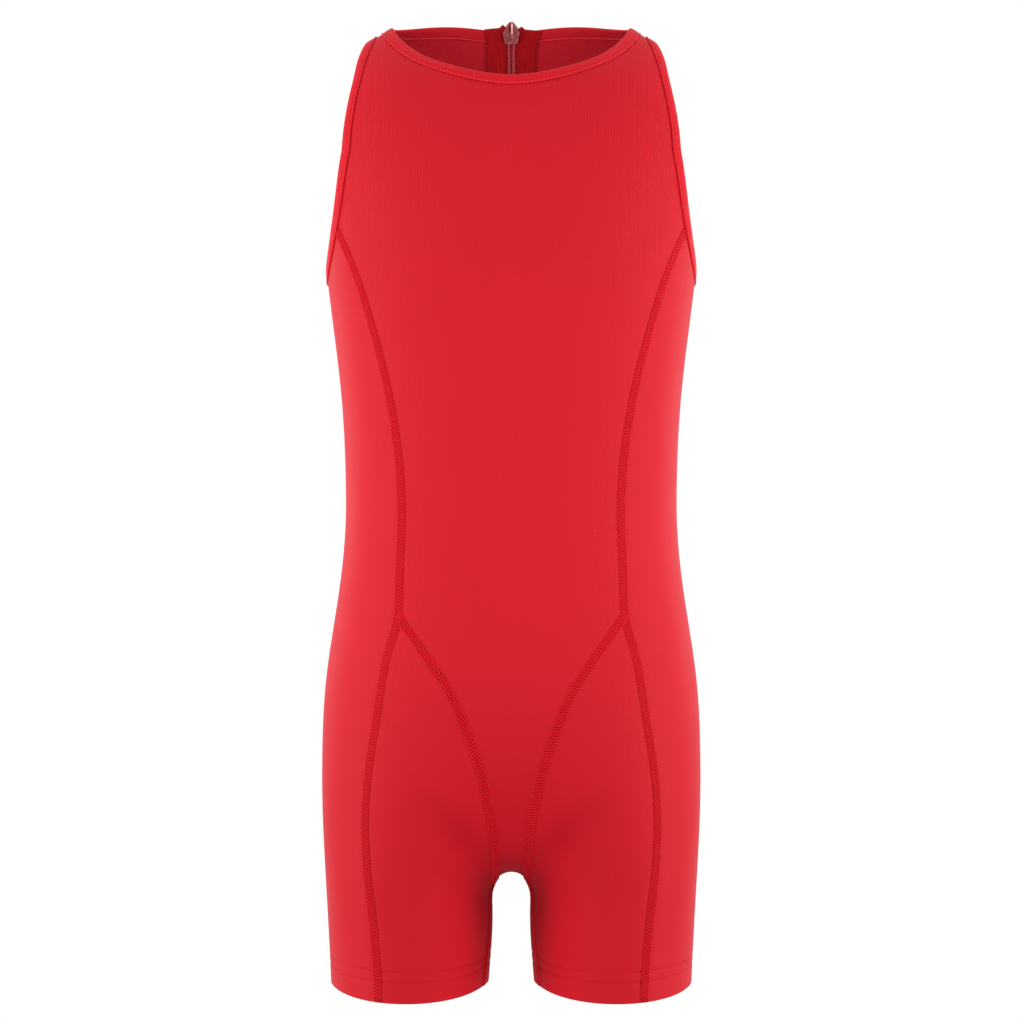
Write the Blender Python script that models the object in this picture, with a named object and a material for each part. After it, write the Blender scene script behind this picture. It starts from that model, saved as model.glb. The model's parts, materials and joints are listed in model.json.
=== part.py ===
"""Sleeveless gymnastics bodysuit with short legs and a zip down the back.

The cloth is a thin wall that holds the form of the body it was worn on. The front
faces -Y, and the origin lies midway between the undersides of the two shoulder straps,
where the wearer holds the garment up. Lengths are in millimetres until a mesh is made.
Everything is worked out for the wearer's right half (x below zero) and mirrored.
"""

import bmesh
import bpy
import numpy as np

METRES = 0.001

WALL = 1.2
HEM_WALL = 2.2
HEM_DEPTH = 20.0
SEAM_GAP = 0.3
BINDING_WIDTH = 8.0
BINDING_PROUD = 0.5
BINDING_ROLL = 0.9
BINDING_ROUND = 0.45
BINDING_REACH = BINDING_WIDTH + SEAM_GAP

NECK_HALF_WIDTH = 77.0
NECK_FRONT = 61.0
NECK_BACK = 45.8
NECK_BACK_POWER = 1.9

ARMHOLE_TOP = -2.0
ARMHOLE_BOTTOM = -151.0
ARMHOLE_HALF_DEPTH = 45.0
ARMHOLE_POWER = 2.3
ARMHOLE_TAPER = 0.3
SHOULDER_SEAM_Y = 7.0

HEM_Z = -614.0
HUB_Z = -476.0
FORK_Z = -551.0
CROSS_DROP = 3.0

ZIP_LENGTH = 250.0
ZIP_CHANNEL = 6.0
ZIP_FADE = 12.0
ZIP_TOP = 15.0
CHAIN_TOP = 12.4
CHAIN_END = 10.0
TAPE_INNER = 2.9
TAPE_OUTER = 16.0
TAPE_DEPTH = 2.05
TAPE_THICKNESS = 0.8
TAPE_TAIL = 6.0
COIL_HALF = 1.0
COIL_WIDTH = 2.4
COIL_SHOULDER = 0.45
STOP_HALF = 2.6
STOP_HEIGHT = 2.5

SLIDER_Z = 11.3
SLIDER_PLATE = 1.1
SLIDER_ROOM = 1.45
SLIDER_OUTER_FACE = SLIDER_ROOM + SLIDER_PLATE
SLIDER_OUTLINE = (  # half width, height from the slider's middle
    (3.9, -6.8),
    (4.2, -6.2),
    (4.4, -3.0),
    (5.0, 0.5),
    (5.3, 2.5),
    (4.9, 4.6),
    (3.0, 6.8),
)
POST_OUTLINE = ((0.6, 1.9), (1.5, 3.4), (1.5, 5.2), (0.8, 6.2))
JOIN_DEPTH = 0.4
BAIL_HALF = 1.1
BAIL_THICKNESS = 1.0
BAIL_REACH = 2.8
BAIL_SHOULDER = 2.5
BAIL_HEIGHT = 3.9
HINGE_UP = 3.5
HINGE_RISE = 1.5
PULL_THICKNESS = 1.4
PULL_OUTLINE = (  # half width, height from the hinge
    (1.8, -23.0),
    (3.4, -21.2),
    (3.4, -14.0),
    (3.0, -7.5),
    (3.0, -0.2),
    (2.5, 0.7),
)
WINDOW_HALF = 1.7
WINDOW_LENGTH = 4.5

# Half width of the form seen from the front, outside to outside of both halves together.
FRONT_VIEW = (  # z, half width
    (22, 62.0),
    (15.5, 67.5),
    (7.5, 78.0),
    (1.4, 88.2),
    (-3, 95.5),
    (-13, 105.4),
    (-26, 109.6),
    (-44, 115.0),
    (-84, 122.8),
    (-110, 122.8),
    (-149, 119.8),
    (-181, 116.0),
    (-233, 110.0),
    (-285, 107.4),
    (-311, 107.4),
    (-363, 112.6),
    (-415, 120.2),
    (-460, 122.6),
    (-500, 122.4),
    (-552, 119.8),
    (-614, 117.0),
)

# Depth of the form seen from the side, in front of and behind the shoulder line.
SIDE_VIEW = (  # z, front depth, back depth, power of the section's outline
    (22, 20.0, 41.6, 2.3),
    (15.5, 22.0, 44.8, 2.3),
    (7.5, 24.5, 48.3, 2.3),
    (-2.4, 33.0, 52.2, 2.3),
    (-13, 44.0, 55.9, 2.35),
    (-26, 57.5, 60.0, 2.4),
    (-44, 68.0, 65.0, 2.45),
    (-84, 77.5, 73.2, 2.5),
    (-149, 81.0, 79.0, 2.5),
    (-207, 77.0, 72.0, 2.45),
    (-259, 73.0, 64.5, 2.4),
    (-311, 72.5, 63.5, 2.4),
    (-363, 76.0, 74.0, 2.35),
    (-411, 78.0, 88.0, 2.3),
    (-456, 75.5, 93.0, 2.25),
    (-506, 70.0, 84.0, 2.25),
    (-552, 66.5, 73.0, 2.2),
    (-614, 65.0, 66.0, 1.97),
)

# How far each half's own centre lies from the middle, and how softly the halves join.
LEG_SPLIT = (  # z, centre, blend
    (-330, 0.0, 0.1),
    (-363, 2.0, 0.5),
    (-411, 14.0, 4.0),
    (-456, 31.0, 12.0),
    (-486, 45.0, 24.0),
    (-506, 53.0, 33.0),
    (-521, 58.5, 39.0),
    (-531, 62.3, 41.0),
    (-539, 65.3, 42.0),
    (-546, 66.5, 42.0),
    (-564, 66.6, 42.0),
    (-614, 66.3, 42.0),
)

# Front seam from the armhole to the hem, along the side of the front.
SIDE_FRONT_SEAM = (  # z, distance from the middle
    (-120, 114.0),
    (-153, 99.4),
    (-191, 87.2),
    (-229, 77.7),
    (-267, 71.5),
    (-305, 69.0),
    (-355, 70.5),
    (-371, 71.3),
    (-393, 77.1),
    (-431, 84.0),
    (-469, 89.9),
    (-494, 91.9),
    (-532, 90.6),
    (-571, 86.3),
    (-614, 83.4),
)
JUNCTION_Z = -371.0

# Leg seam from the junction to the crotch, down to the height of the hub.
LEG_SEAM = (  # z, distance from the middle
    (-371, 71.3),
    (-392.5, 55.9),
    (-417, 39.5),
    (-442, 28.3),
    (-467.5, 19.5),
    (-476, 17.2),
)
# The same seam on, where it turns under the hub.
LEG_SEAM_UNDER = (  # degrees below the level, distance from the middle
    (0, 17.2),
    (16, 13.3),
    (29, 10.9),
    (43, 9.9),
    (90, 9.6),
)

# Seam of the inner leg, from the crotch to the hem.
INSEAM = (  # z, y
    (-540, 0.0),
    (-564, -12.0),
    (-597, -19.0),
    (-614, -20.5),
)

# Back seam from the armhole to the hem, along the side of the back.
SIDE_BACK_SEAM = (  # z, distance from the middle
    (-120, 112.0),
    (-153, 98.0),
    (-191, 87.0),
    (-250, 77.0),
    (-311, 73.0),
    (-371, 78.0),
    (-431, 88.0),
    (-494, 92.0),
    (-552, 88.0),
    (-614, 84.0),
)

# How many steps each seam is cut into, the same on both of its sides.
NECK_FRONT_STEPS = 12
NECK_BACK_STEPS = 10
ARMHOLE_FRONT_STEPS = 16
ARMHOLE_UNDER_STEPS = 8
ARMHOLE_BACK_STEPS = 18
SIDE_SEAM_STEPS = 18
LEG_SEAM_STEPS = 14
INSEAM_STEPS = 6
CROSS_STEPS = 2
OUTER_LEG_STEPS = LEG_SEAM_STEPS + INSEAM_STEPS
FRONT_COLUMNS = 7
BACK_COLUMNS = 7
LEG_COLUMNS = 6
UNDERARM_RELAX = 8
POINT_START = 0.15


def spline(rows, column=1):
    """Returns the natural cubic spline of one column of a table against its first."""
    table = np.array(sorted(rows), float)
    at, value = table[:, 0], table[:, column]
    step = np.diff(at)
    slope = np.diff(value) / step
    count = len(at)
    system = np.eye(count)
    right_side = np.zeros(count)
    for i in range(1, count - 1):
        system[i, i - 1 : i + 2] = step[i - 1], 2 * (step[i - 1] + step[i]), step[i]
        right_side[i] = 6 * (slope[i] - slope[i - 1])
    bend = np.linalg.solve(system, right_side)

    def curve(where):
        where = np.clip(where, at[0], at[-1])
        i = np.clip(np.searchsorted(at, where, side="right") - 1, 0, count - 2)
        after = where - at[i]
        before = at[i + 1] - where
        cubic = (bend[i] * before**3 + bend[i + 1] * after**3) / (6 * step[i])
        first = (value[i] / step[i] - bend[i] * step[i] / 6) * before
        second = (value[i + 1] / step[i] - bend[i + 1] * step[i] / 6) * after
        return cubic + first + second

    return curve


half_width = spline(FRONT_VIEW)
front_depth = spline(SIDE_VIEW, 1)
back_depth = spline(SIDE_VIEW, 2)
section_power = spline(SIDE_VIEW, 3)
leg_centre = spline(LEG_SPLIT, 1)
leg_blend = spline(LEG_SPLIT, 2)
side_front_x = spline(SIDE_FRONT_SEAM)
side_back_x = spline(SIDE_BACK_SEAM)
leg_seam_x = spline(LEG_SEAM)
leg_seam_under_x = spline(LEG_SEAM_UNDER)
inseam_y = spline(INSEAM)


def point(x, y, z):
    return np.stack(np.broadcast_arrays(x, y, z), axis=-1).astype(float)


def unit(v):
    return v / np.maximum(np.linalg.norm(v, axis=-1, keepdims=True), 1e-12)


def centre_of(z):
    return np.maximum(leg_centre(z), 0.0)


def form(p):
    """Distance measure from the body form: each half is a superellipse about its own
    centre, and the two are joined by a union rounded over the blend length."""
    x, y, z = p[..., 0], p[..., 1], p[..., 2]
    centre = centre_of(z)
    across = half_width(z) - centre
    depth = np.where(y < 0, front_depth(z), back_depth(z))
    power = section_power(z)
    blend = np.maximum(leg_blend(z), 0.1)
    deep = (np.abs(y) / depth) ** power
    right = (((np.abs(x + centre) / across) ** power + deep) ** (1 / power) - 1) * across
    left = (((np.abs(x - centre) / across) ** power + deep) ** (1 / power) - 1) * across
    near = np.maximum(blend - np.abs(right - left), 0)
    return np.minimum(right, left) - near**2 / (4 * blend)


def slope(p, step=0.05):
    parts = []
    for axis in np.eye(3) * step:
        parts.append((form(p + axis) - form(p - axis)) / (2 * step))
    return np.stack(parts, axis=-1)


def onto_form(p, rounds=10):
    """Moves points along the form's slope until they lie on it."""
    for _ in range(rounds):
        g = slope(p)
        move = (form(p) / np.maximum((g * g).sum(-1), 1e-9))[..., None] * g
        p = p - move
    return p


def cast(start, direction, reach=150.0):
    """Goes from inside the form along a direction until it leaves it, by bisection."""
    direction = np.broadcast_to(np.asarray(direction, float), start.shape)
    low = np.zeros(start.shape[:-1])
    high = np.full(start.shape[:-1], reach)
    for _ in range(40):
        middle = (low + high) / 2
        inside = form(start + middle[..., None] * direction) < 0
        low = np.where(inside, middle, low)
        high = np.where(inside, high, middle)
    return start + low[..., None] * direction


def along(curve, count=None, shares=None):
    """Points spaced evenly along a dense curve, or at the given shares of its length."""
    lengths = np.linalg.norm(np.diff(curve, axis=0), axis=1)
    run = np.concatenate([[0], np.cumsum(lengths)])
    if shares is None:
        shares = np.linspace(0, 1, count + 1)
    wanted = np.asarray(shares) * run[-1]
    return np.stack([np.interp(wanted, run, curve[:, i]) for i in range(3)], axis=-1)


def tangents(curve):
    return unit(np.gradient(curve, axis=0))


def offset(curve, direction_sign, distance):
    """A curve on the form, moved sideways over it by a distance."""
    sideways = np.cross(slope(curve), tangents(curve)) * direction_sign
    return onto_form(curve + unit(sideways) * distance)


def neck_curve(angle):
    """Free edge of the neck at an angle from the middle front: an oval seen from above."""
    x = -NECK_HALF_WIDTH * np.sin(angle)
    share = np.abs(np.sin(angle)) ** NECK_BACK_POWER
    back = NECK_BACK * np.maximum(1 - share, 0) ** (1 / NECK_BACK_POWER)
    y = np.where(np.cos(angle) > 0, -NECK_FRONT * np.cos(angle), back)
    return cast(point(x, y, -70.0), (0, 0, 1), 92.0)


def armhole_curve(angle):
    """Free edge of the armhole at an angle from its top, front first: an oval from the side."""
    middle = (ARMHOLE_TOP + ARMHOLE_BOTTOM) / 2
    half_height = (ARMHOLE_TOP - ARMHOLE_BOTTOM) / 2
    share = 2 / ARMHOLE_POWER
    up = np.sign(np.cos(angle)) * np.abs(np.cos(angle)) ** share
    fore = np.sign(np.sin(angle)) * np.abs(np.sin(angle)) ** share
    fore = fore * (1 - ARMHOLE_TAPER * np.maximum(up, 0))
    start = point(0.0, -ARMHOLE_HALF_DEPTH * fore, middle + half_height * up)
    return cast(start, (-1, 0, 0))


def crossing(values, angles, low=-np.pi, high=2 * np.pi):
    """Index, with its fraction, where values first change sign between two angles."""
    within = (angles[:-1] >= low) & (angles[1:] <= high)
    i = np.flatnonzero(within & (values[:-1] * values[1:] <= 0))[0]
    return i + values[i] / (values[i] - values[i + 1])


def piece_of(curve, start, end):
    """The stretch of a dense curve between two fractional indices."""
    inner = np.arange(int(np.ceil(start + 1e-6)), int(np.floor(end - 1e-6)) + 1)
    where = np.concatenate([[start], inner, [end]])
    index = np.arange(len(curve))
    return np.stack([np.interp(where, index, curve[:, i]) for i in range(3)], axis=-1)


def level(values, old_range, new_range):
    """Maps heights from one range onto another, so that partner stations lie level."""
    share = (values - old_range[0]) / (old_range[1] - old_range[0])
    return new_range[0] + share * (new_range[1] - new_range[0])


def fan(x, degrees):
    """Points on the form in a lengthwise plane, by the angle below the level at the hub."""
    turn = np.radians(degrees)
    start = point(x, 0.0 * turn, HUB_Z)
    direction = np.stack([0 * turn, -np.cos(turn), -np.sin(turn)], axis=-1)
    return cast(start, direction)


def zip_end_z(seams):
    return seams["neck_back"][-1, 2] - ZIP_LENGTH


def make_seams():
    """Every seam of the right half as stations that both of its sides share."""
    seams = {}

    turn = np.linspace(0, np.pi, 721)
    neck_sewn = offset(neck_curve(turn), 1, BINDING_REACH)
    zip_edge = crossing(neck_sewn[:, 0] + ZIP_CHANNEL, turn, low=np.pi / 2)
    ridge = crossing(neck_sewn[:, 1] - SHOULDER_SEAM_Y, turn)
    parts = ((0, ridge, NECK_FRONT_STEPS), (ridge, zip_edge, NECK_BACK_STEPS))
    for name, (start, end, steps) in zip(("front", "back"), parts):
        sewn = piece_of(neck_sewn, start, end)
        seams["neck_" + name] = onto_form(along(sewn, steps))

    turn = np.linspace(-0.3, 2 * np.pi, 1441)
    arm_sewn = offset(armhole_curve(turn), 1, BINDING_REACH)
    shoulder = crossing(arm_sewn[:, 1] - SHOULDER_SEAM_Y, turn)
    past_front = -arm_sewn[:, 0] - side_front_x(arm_sewn[:, 2])
    lower_front = crossing(past_front, turn, np.pi / 2, np.pi)
    past_back = -arm_sewn[:, 0] - side_back_x(arm_sewn[:, 2])
    lower_back = crossing(past_back, turn, np.pi, 1.5 * np.pi)
    around = crossing(arm_sewn[:, 1] - SHOULDER_SEAM_Y, turn, low=1.6 * np.pi)
    parts = (
        ("front", shoulder, lower_front, ARMHOLE_FRONT_STEPS),
        ("under", lower_front, lower_back, ARMHOLE_UNDER_STEPS),
        ("back", lower_back, around, ARMHOLE_BACK_STEPS),
    )
    for name, start, end, steps in parts:
        sewn = piece_of(arm_sewn, start, end)
        seams["armhole_" + name] = onto_form(along(sewn, steps))

    z = np.linspace(seams["armhole_front"][-1, 2], JUNCTION_Z, 300)
    upper = cast(point(-side_front_x(z), 0.0, z), (0, -1, 0))
    seams["side_front"] = onto_form(along(upper, SIDE_SEAM_STEPS))

    z = np.linspace(JUNCTION_Z, HUB_Z, 200)
    degrees = np.linspace(0, 90, 200)
    above = cast(point(-leg_seam_x(z), 0.0, z), (0, -1, 0))
    under = fan(-leg_seam_under_x(degrees), degrees)
    seams["leg"] = onto_form(along(np.concatenate([above, under[1:]]), LEG_SEAM_STEPS))

    crotch = seams["leg"][-1]
    z = np.linspace(crotch[2], HEM_Z, 200)
    inner = cast(point(-centre_of(z), inseam_y(z), z), (1, 0, 0), 120.0)
    inner[0] = crotch
    seams["inseam"] = onto_form(along(inner, INSEAM_STEPS))
    below_crotch = level(seams["inseam"][:, 2], (crotch[2], HEM_Z), (FORK_Z, HEM_Z))

    beside = level(seams["leg"][:, 2], (JUNCTION_Z, crotch[2]), (JUNCTION_Z, FORK_Z))
    z = np.concatenate([beside, below_crotch[1:]])
    seams["outer_leg"] = cast(point(-side_front_x(z), 0.0, z), (0, -1, 0))

    steps = ARMHOLE_FRONT_STEPS + SIDE_SEAM_STEPS - NECK_FRONT_STEPS
    z = np.linspace(seams["neck_front"][0, 2], JUNCTION_Z, 300)
    above = along(cast(point(0.0, 0.0, z), (0, -1, 0)), steps)
    z = np.linspace(JUNCTION_Z, HUB_Z, 100)
    middle = np.concatenate([cast(point(0.0, 0.0, z), (0, -1, 0)), fan(0.0, degrees)[1:]])
    under = along(middle, LEG_SEAM_STEPS)
    seams["middle_front"] = onto_form(np.concatenate([above, under[1:]]))

    steps = ARMHOLE_BACK_STEPS + SIDE_SEAM_STEPS - NECK_BACK_STEPS
    z = np.linspace(seams["neck_back"][-1, 2], JUNCTION_Z, 300)
    open_share = np.clip((z - zip_end_z(seams)) / ZIP_FADE, 0, 1)
    above = along(cast(point(-ZIP_CHANNEL * open_share, 0.0, z), (0, 1, 0)), steps)
    z = np.linspace(JUNCTION_Z, HUB_Z, 100)
    middle = cast(point(0.0, 0.0, z), (0, 1, 0))
    middle = np.concatenate([middle, fan(0.0, 180 - degrees)[1:]])
    under = along(middle, LEG_SEAM_STEPS - CROSS_STEPS)
    seams["middle_back"] = onto_form(np.concatenate([above, under[1:]]))
    share = np.linspace(0, 1, 50)[:, None]
    cross = onto_form(middle[-1] * (1 - share) + crotch * share)
    cross[0], cross[-1] = middle[-1], crotch
    seams["cross"] = along(cross, CROSS_STEPS)

    start = ARMHOLE_BACK_STEPS - NECK_BACK_STEPS
    z = seams["middle_back"][start:, 2]
    armpit = seams["armhole_back"][0, 2]
    seat = level(z[: SIDE_SEAM_STEPS + 1], (z[0], JUNCTION_Z), (armpit, JUNCTION_Z))
    fork = level(z[SIDE_SEAM_STEPS:], (JUNCTION_Z, z[-1]), (JUNCTION_Z, FORK_Z + 2 * CROSS_DROP))
    across = FORK_Z + CROSS_DROP * np.arange(CROSS_STEPS - 1, -1, -1)
    z = np.concatenate([seat, fork[1:], across, below_crotch[1:]])
    seams["side_back"] = cast(point(-side_back_x(z), 0.0, z), (0, 1, 0))
    return seams


def chart(p, behind):
    """Angle from the front, radius and height about the half's own upright centre line."""
    x, y = p[..., 0] + centre_of(p[..., 2]), p[..., 1]
    angle = np.arctan2(-x, -y)
    if behind:
        angle = np.where(angle < 0, angle + 2 * np.pi, angle)
    return angle, np.hypot(x, y), p[..., 2]


def half_radius(angle, z):
    """Radius of one half's own section at an angle."""
    depth = np.where(np.cos(angle) > 0, front_depth(z), back_depth(z))
    across = half_width(z) - centre_of(z)
    power = section_power(z)
    parts = (np.abs(np.sin(angle)) / across) ** power + (np.abs(np.cos(angle)) / depth) ** power
    return parts ** (-1 / power)


def between(inner, outer, columns, behind=False, top=None):
    """A panel's grid between two seams. Each row runs from a station of the inner seam to
    its partner on the outer one, evenly in angle and height, and lies on the form. A top
    row, where given, bends the rows under it, and the bend fades over a few rows."""
    share = np.linspace(0, 1, columns + 1)
    angle_in, radius_in, z_in = chart(inner, behind)
    angle_out, radius_out, z_out = chart(outer, behind)
    angle = angle_in[:, None] * (1 - share) + angle_out[:, None] * share
    z = z_in[:, None] * (1 - share) + z_out[:, None] * share
    if top is not None:
        top_angle, _, top_z = chart(top, behind)
        fade = np.clip(1 - np.arange(len(inner)) / UNDERARM_RELAX, 0, 1)[:, None]
        angle = angle + fade * (top_angle - angle[0])
        z = z + fade * (top_z - z[0])
    ratio_in = radius_in / half_radius(angle_in, z_in)
    ratio_out = radius_out / half_radius(angle_out, z_out)
    ratio = ratio_in[:, None] * (1 - share) + ratio_out[:, None] * share
    radius = half_radius(angle, z) * ratio
    guess = point(-radius * np.sin(angle) - centre_of(z), -radius * np.cos(angle), z)
    grid = onto_form(guess)
    grid[:, 0], grid[:, -1] = inner, outer
    if top is not None:
        grid[0] = top
    return grid


def pull_in(edge, neighbour, amount=SEAM_GAP / 2):
    """Moves a panel's edge towards its own inside, square to the edge."""
    run = tangents(edge)
    inward = neighbour - edge
    inward = inward - (inward * run).sum(-1, keepdims=True) * run
    return edge + unit(inward) * amount


def hem_thickness(p):
    return np.where(p[..., 2] < HEM_Z + HEM_DEPTH, HEM_WALL, WALL)


def coloured(name, colour, roughness, metallic=0.0):
    material = bpy.data.materials.new(name)
    material.use_nodes = True
    shader = material.node_tree.nodes["Principled BSDF"]
    shader.inputs["Base Color"].default_value = (*colour, 1)
    shader.inputs["Roughness"].default_value = roughness
    shader.inputs["Metallic"].default_value = metallic
    material.diffuse_color = (*colour, 1)
    return material


def add_object(name, vertices, faces, material):
    mesh = bpy.data.meshes.new(name)
    mesh.from_pydata((np.asarray(vertices) * METRES).tolist(), [], faces)
    if material:
        mesh.materials.append(material)
    build = bmesh.new()
    build.from_mesh(mesh)
    bmesh.ops.recalc_face_normals(build, faces=build.faces)
    build.to_mesh(mesh)
    build.free()
    mesh.shade_smooth()
    mesh.set_sharp_from_angle(angle=0.7)
    thing = bpy.data.objects.new(name, mesh)
    bpy.context.scene.collection.objects.link(thing)
    return thing


def grid_faces(rows, columns, start=0):
    """Quads of a grid of points that is numbered row by row."""
    i, j = np.meshgrid(np.arange(rows - 1), np.arange(columns - 1), indexing="ij")
    a = (start + i * columns + j).ravel()
    return np.stack([a, a + 1, a + columns + 1, a + columns], axis=1)


def wall_mesh(points, faces, depth):
    """Turns a sheet into a closed wall: the sheet, its copy moved inwards, and a strip
    round every open edge. Both sheets are cut into the same triangles, which keeps the
    wall even, and every face comes in turned so that it looks outwards."""
    inner = points - unit(slope(points)) * depth[:, None]
    count = len(points)
    vertices = np.concatenate([points, inner])
    edges = np.concatenate([faces[:, [i, (i + 1) % 4]] for i in range(4)])
    key = np.sort(edges, axis=1)
    _, index, uses = np.unique(key, axis=0, return_inverse=True, return_counts=True)
    rim = edges[uses[index.reshape(-1)] == 1]
    strip = np.stack([rim[:, 1], rim[:, 0], rim[:, 0] + count, rim[:, 1] + count], axis=1)
    outer = np.concatenate([faces[:, [0, 1, 2]], faces[:, [0, 2, 3]]])
    return vertices, outer.tolist() + (outer[:, ::-1] + count).tolist() + strip.tolist()


def mirrored(points):
    return points * np.array([-1.0, 1.0, 1.0])


def turned_over(faces):
    """The same quads wound the other way, with the same first corner."""
    return faces[:, [0, 3, 2, 1]]


def add_panel(name, grid, material, thickness=None):
    """A panel for each side of the body from the right half's grid."""
    rows, columns = grid.shape[:2]
    flat = grid.reshape(-1, 3)
    depth = hem_thickness(flat) if thickness is None else np.full(len(flat), thickness)
    faces = grid_faces(rows, columns)
    for side in ("right", "left"):
        points = flat if side == "right" else mirrored(flat)
        wound = faces if side == "right" else turned_over(faces)
        add_object(f"{name}_{side}", *wall_mesh(points, wound, depth), material)


def add_front_panel(seams, material):
    """One piece: the right half's grid and its mirror image share the middle line."""
    inner = np.concatenate([seams["neck_front"][::-1], seams["middle_front"][1:]])
    outer = [seams["armhole_front"], seams["side_front"][1:], seams["leg"][1:]]
    grid = between(inner, np.concatenate(outer), FRONT_COLUMNS)
    sewn = slice(ARMHOLE_FRONT_STEPS, None)
    grid[sewn, -1] = pull_in(grid[sewn, -1], grid[sewn, -2])
    grid[0] = pull_in(grid[0], grid[1])
    grid[-1] = pull_in(grid[-1], grid[-2])
    shared = np.arange(len(inner)) >= NECK_FRONT_STEPS
    grid[shared, 0, 0] = 0.0
    rows, columns = grid.shape[:2]
    right = grid.reshape(-1, 3)
    numbers = np.arange(rows * columns).reshape(rows, columns)
    left_numbers = numbers + rows * columns
    left_numbers[shared, 0] = numbers[shared, 0]
    points = np.concatenate([right, mirrored(right)])
    right_faces = grid_faces(rows, columns)
    left_faces = turned_over(left_numbers.ravel()[right_faces])
    faces = np.concatenate([right_faces, left_faces])
    used = np.unique(faces)
    renumber = np.zeros(len(points), int)
    renumber[used] = np.arange(len(used))
    points, faces = points[used], renumber[faces]
    add_object("front_panel", *wall_mesh(points, faces, hem_thickness(points)), material)


def add_front_leg(seams, material):
    """A wedge whose blunt point starts just below the junction."""
    inner = np.concatenate([seams["leg"], seams["inseam"][1:]])
    outer = seams["outer_leg"].copy()
    grid = between(inner, outer, LEG_COLUMNS)
    start_in = inner[0] * (1 - POINT_START) + inner[1] * POINT_START
    start_out = outer[0] * (1 - POINT_START) + outer[1] * POINT_START
    share = np.linspace(0, 1, LEG_COLUMNS + 1)[:, None]
    grid[0] = start_in * (1 - share) + start_out * share
    first, last = grid[:, 1].copy(), grid[:, -2].copy()
    grid[:, 0] = pull_in(grid[:, 0], first)
    grid[:, -1] = pull_in(grid[:, -1], last)
    add_panel("front_leg", grid, material)


def add_side_panel(seams, material):
    inner = np.concatenate([seams["side_front"], seams["outer_leg"][1:]])
    grid = between(
        inner, seams["side_back"], ARMHOLE_UNDER_STEPS, behind=True, top=seams["armhole_under"]
    )
    first, last = grid[:, 1].copy(), grid[:, -2].copy()
    grid[:, 0] = pull_in(grid[:, 0], first)
    grid[:, -1] = pull_in(grid[:, -1], last)
    add_panel("side_panel", grid, material)


def back_grid(seams):
    inner = [seams["neck_back"], seams["middle_back"][1:], seams["cross"][1:]]
    inner = np.concatenate(inner + [seams["inseam"][1:]])
    outer = [seams["armhole_back"][::-1], seams["side_back"][1:]]
    return between(inner, np.concatenate(outer), BACK_COLUMNS, behind=True)


def add_back_panel(seams, material):
    grid = back_grid(seams)
    first, last = grid[:, 1].copy(), grid[:, -2].copy()
    below_neck = slice(NECK_BACK_STEPS, None)
    grid[below_neck, 0] = pull_in(grid[below_neck, 0], first[below_neck])
    sewn = slice(ARMHOLE_BACK_STEPS, None)
    grid[sewn, -1] = pull_in(grid[sewn, -1], last[sewn])
    grid[0] = pull_in(grid[0], grid[1])
    add_panel("back_panel", grid[:, ::-1], material)


def binding_rings(sewn):
    """Cross sections of a folded binding at each station of the seam it is sewn to. The
    seam side is square and the free side is rolled."""
    reaches = (
        SEAM_GAP,
        SEAM_GAP + BINDING_WIDTH / 2,
        BINDING_REACH - BINDING_ROLL,
        BINDING_REACH,
    )
    near, middle, shoulder, free = [offset(sewn, -1, reach) for reach in reaches]
    outside, inside = BINDING_PROUD, -WALL - BINDING_PROUD
    corners = (
        (near, outside),
        (middle, outside),
        (shoulder, outside),
        (free, outside - BINDING_ROUND),
        (free, inside + BINDING_ROUND),
        (shoulder, inside),
        (middle, inside),
        (near, inside),
    )
    return np.stack([p + unit(slope(p)) * height for p, height in corners], axis=1)


def tube_faces(stations, corners, closed):
    """Quads round a run of cross sections, with end faces where the run is open."""
    runs = stations if closed else stations - 1
    i, j = np.divmod(np.arange(runs * corners), corners)
    after, beside = (i + 1) % stations, (j + 1) % corners
    quads = np.stack([i, i, after, after], axis=1) * corners
    quads += np.stack([j, beside, beside, j], axis=1)
    faces = quads.tolist()
    if not closed:
        faces.append(list(range(corners))[::-1])
        faces.append([(stations - 1) * corners + c for c in range(corners)])
    return faces


def add_bindings(seams, material):
    half = np.concatenate([seams["neck_front"], seams["neck_back"][1:]])
    neck = np.concatenate([mirrored(half[:0:-1]), half])
    rings = binding_rings(neck)
    rings[0, :, 0], rings[-1, :, 0] = ZIP_CHANNEL, -ZIP_CHANNEL
    faces = tube_faces(len(rings), rings.shape[1], closed=False)
    add_object("neck_binding", rings.reshape(-1, 3), faces, material)
    names = ("armhole_front", "armhole_under", "armhole_back")
    loop = np.concatenate([seams[name][:-1] for name in names])
    wrapped = np.concatenate([loop[-2:], loop, loop[:2]])
    rings = binding_rings(wrapped)[2:-2]
    faces = tube_faces(len(rings), rings.shape[1], closed=True)
    for side in ("right", "left"):
        points = rings.reshape(-1, 3)
        points = points if side == "right" else mirrored(points)
        add_object(f"armhole_binding_{side}", points, faces, material)


def zip_rows(seams, top, bottom):
    """Heights down the zip: those of the back panels' stations between its two ends."""
    stations = seams["middle_back"][:, 2]
    kept = stations[(stations < top - 2) & (stations > bottom + 2)]
    return np.concatenate([[top], kept, [bottom]])


def under_back(across, z, depth):
    """Points inside the back by a depth, at distances from the middle (right half)."""
    on = cast(point(-across, 0.0, z), (0, 1, 0))
    return on - unit(slope(on)) * np.asarray(depth)[..., None]


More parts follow.
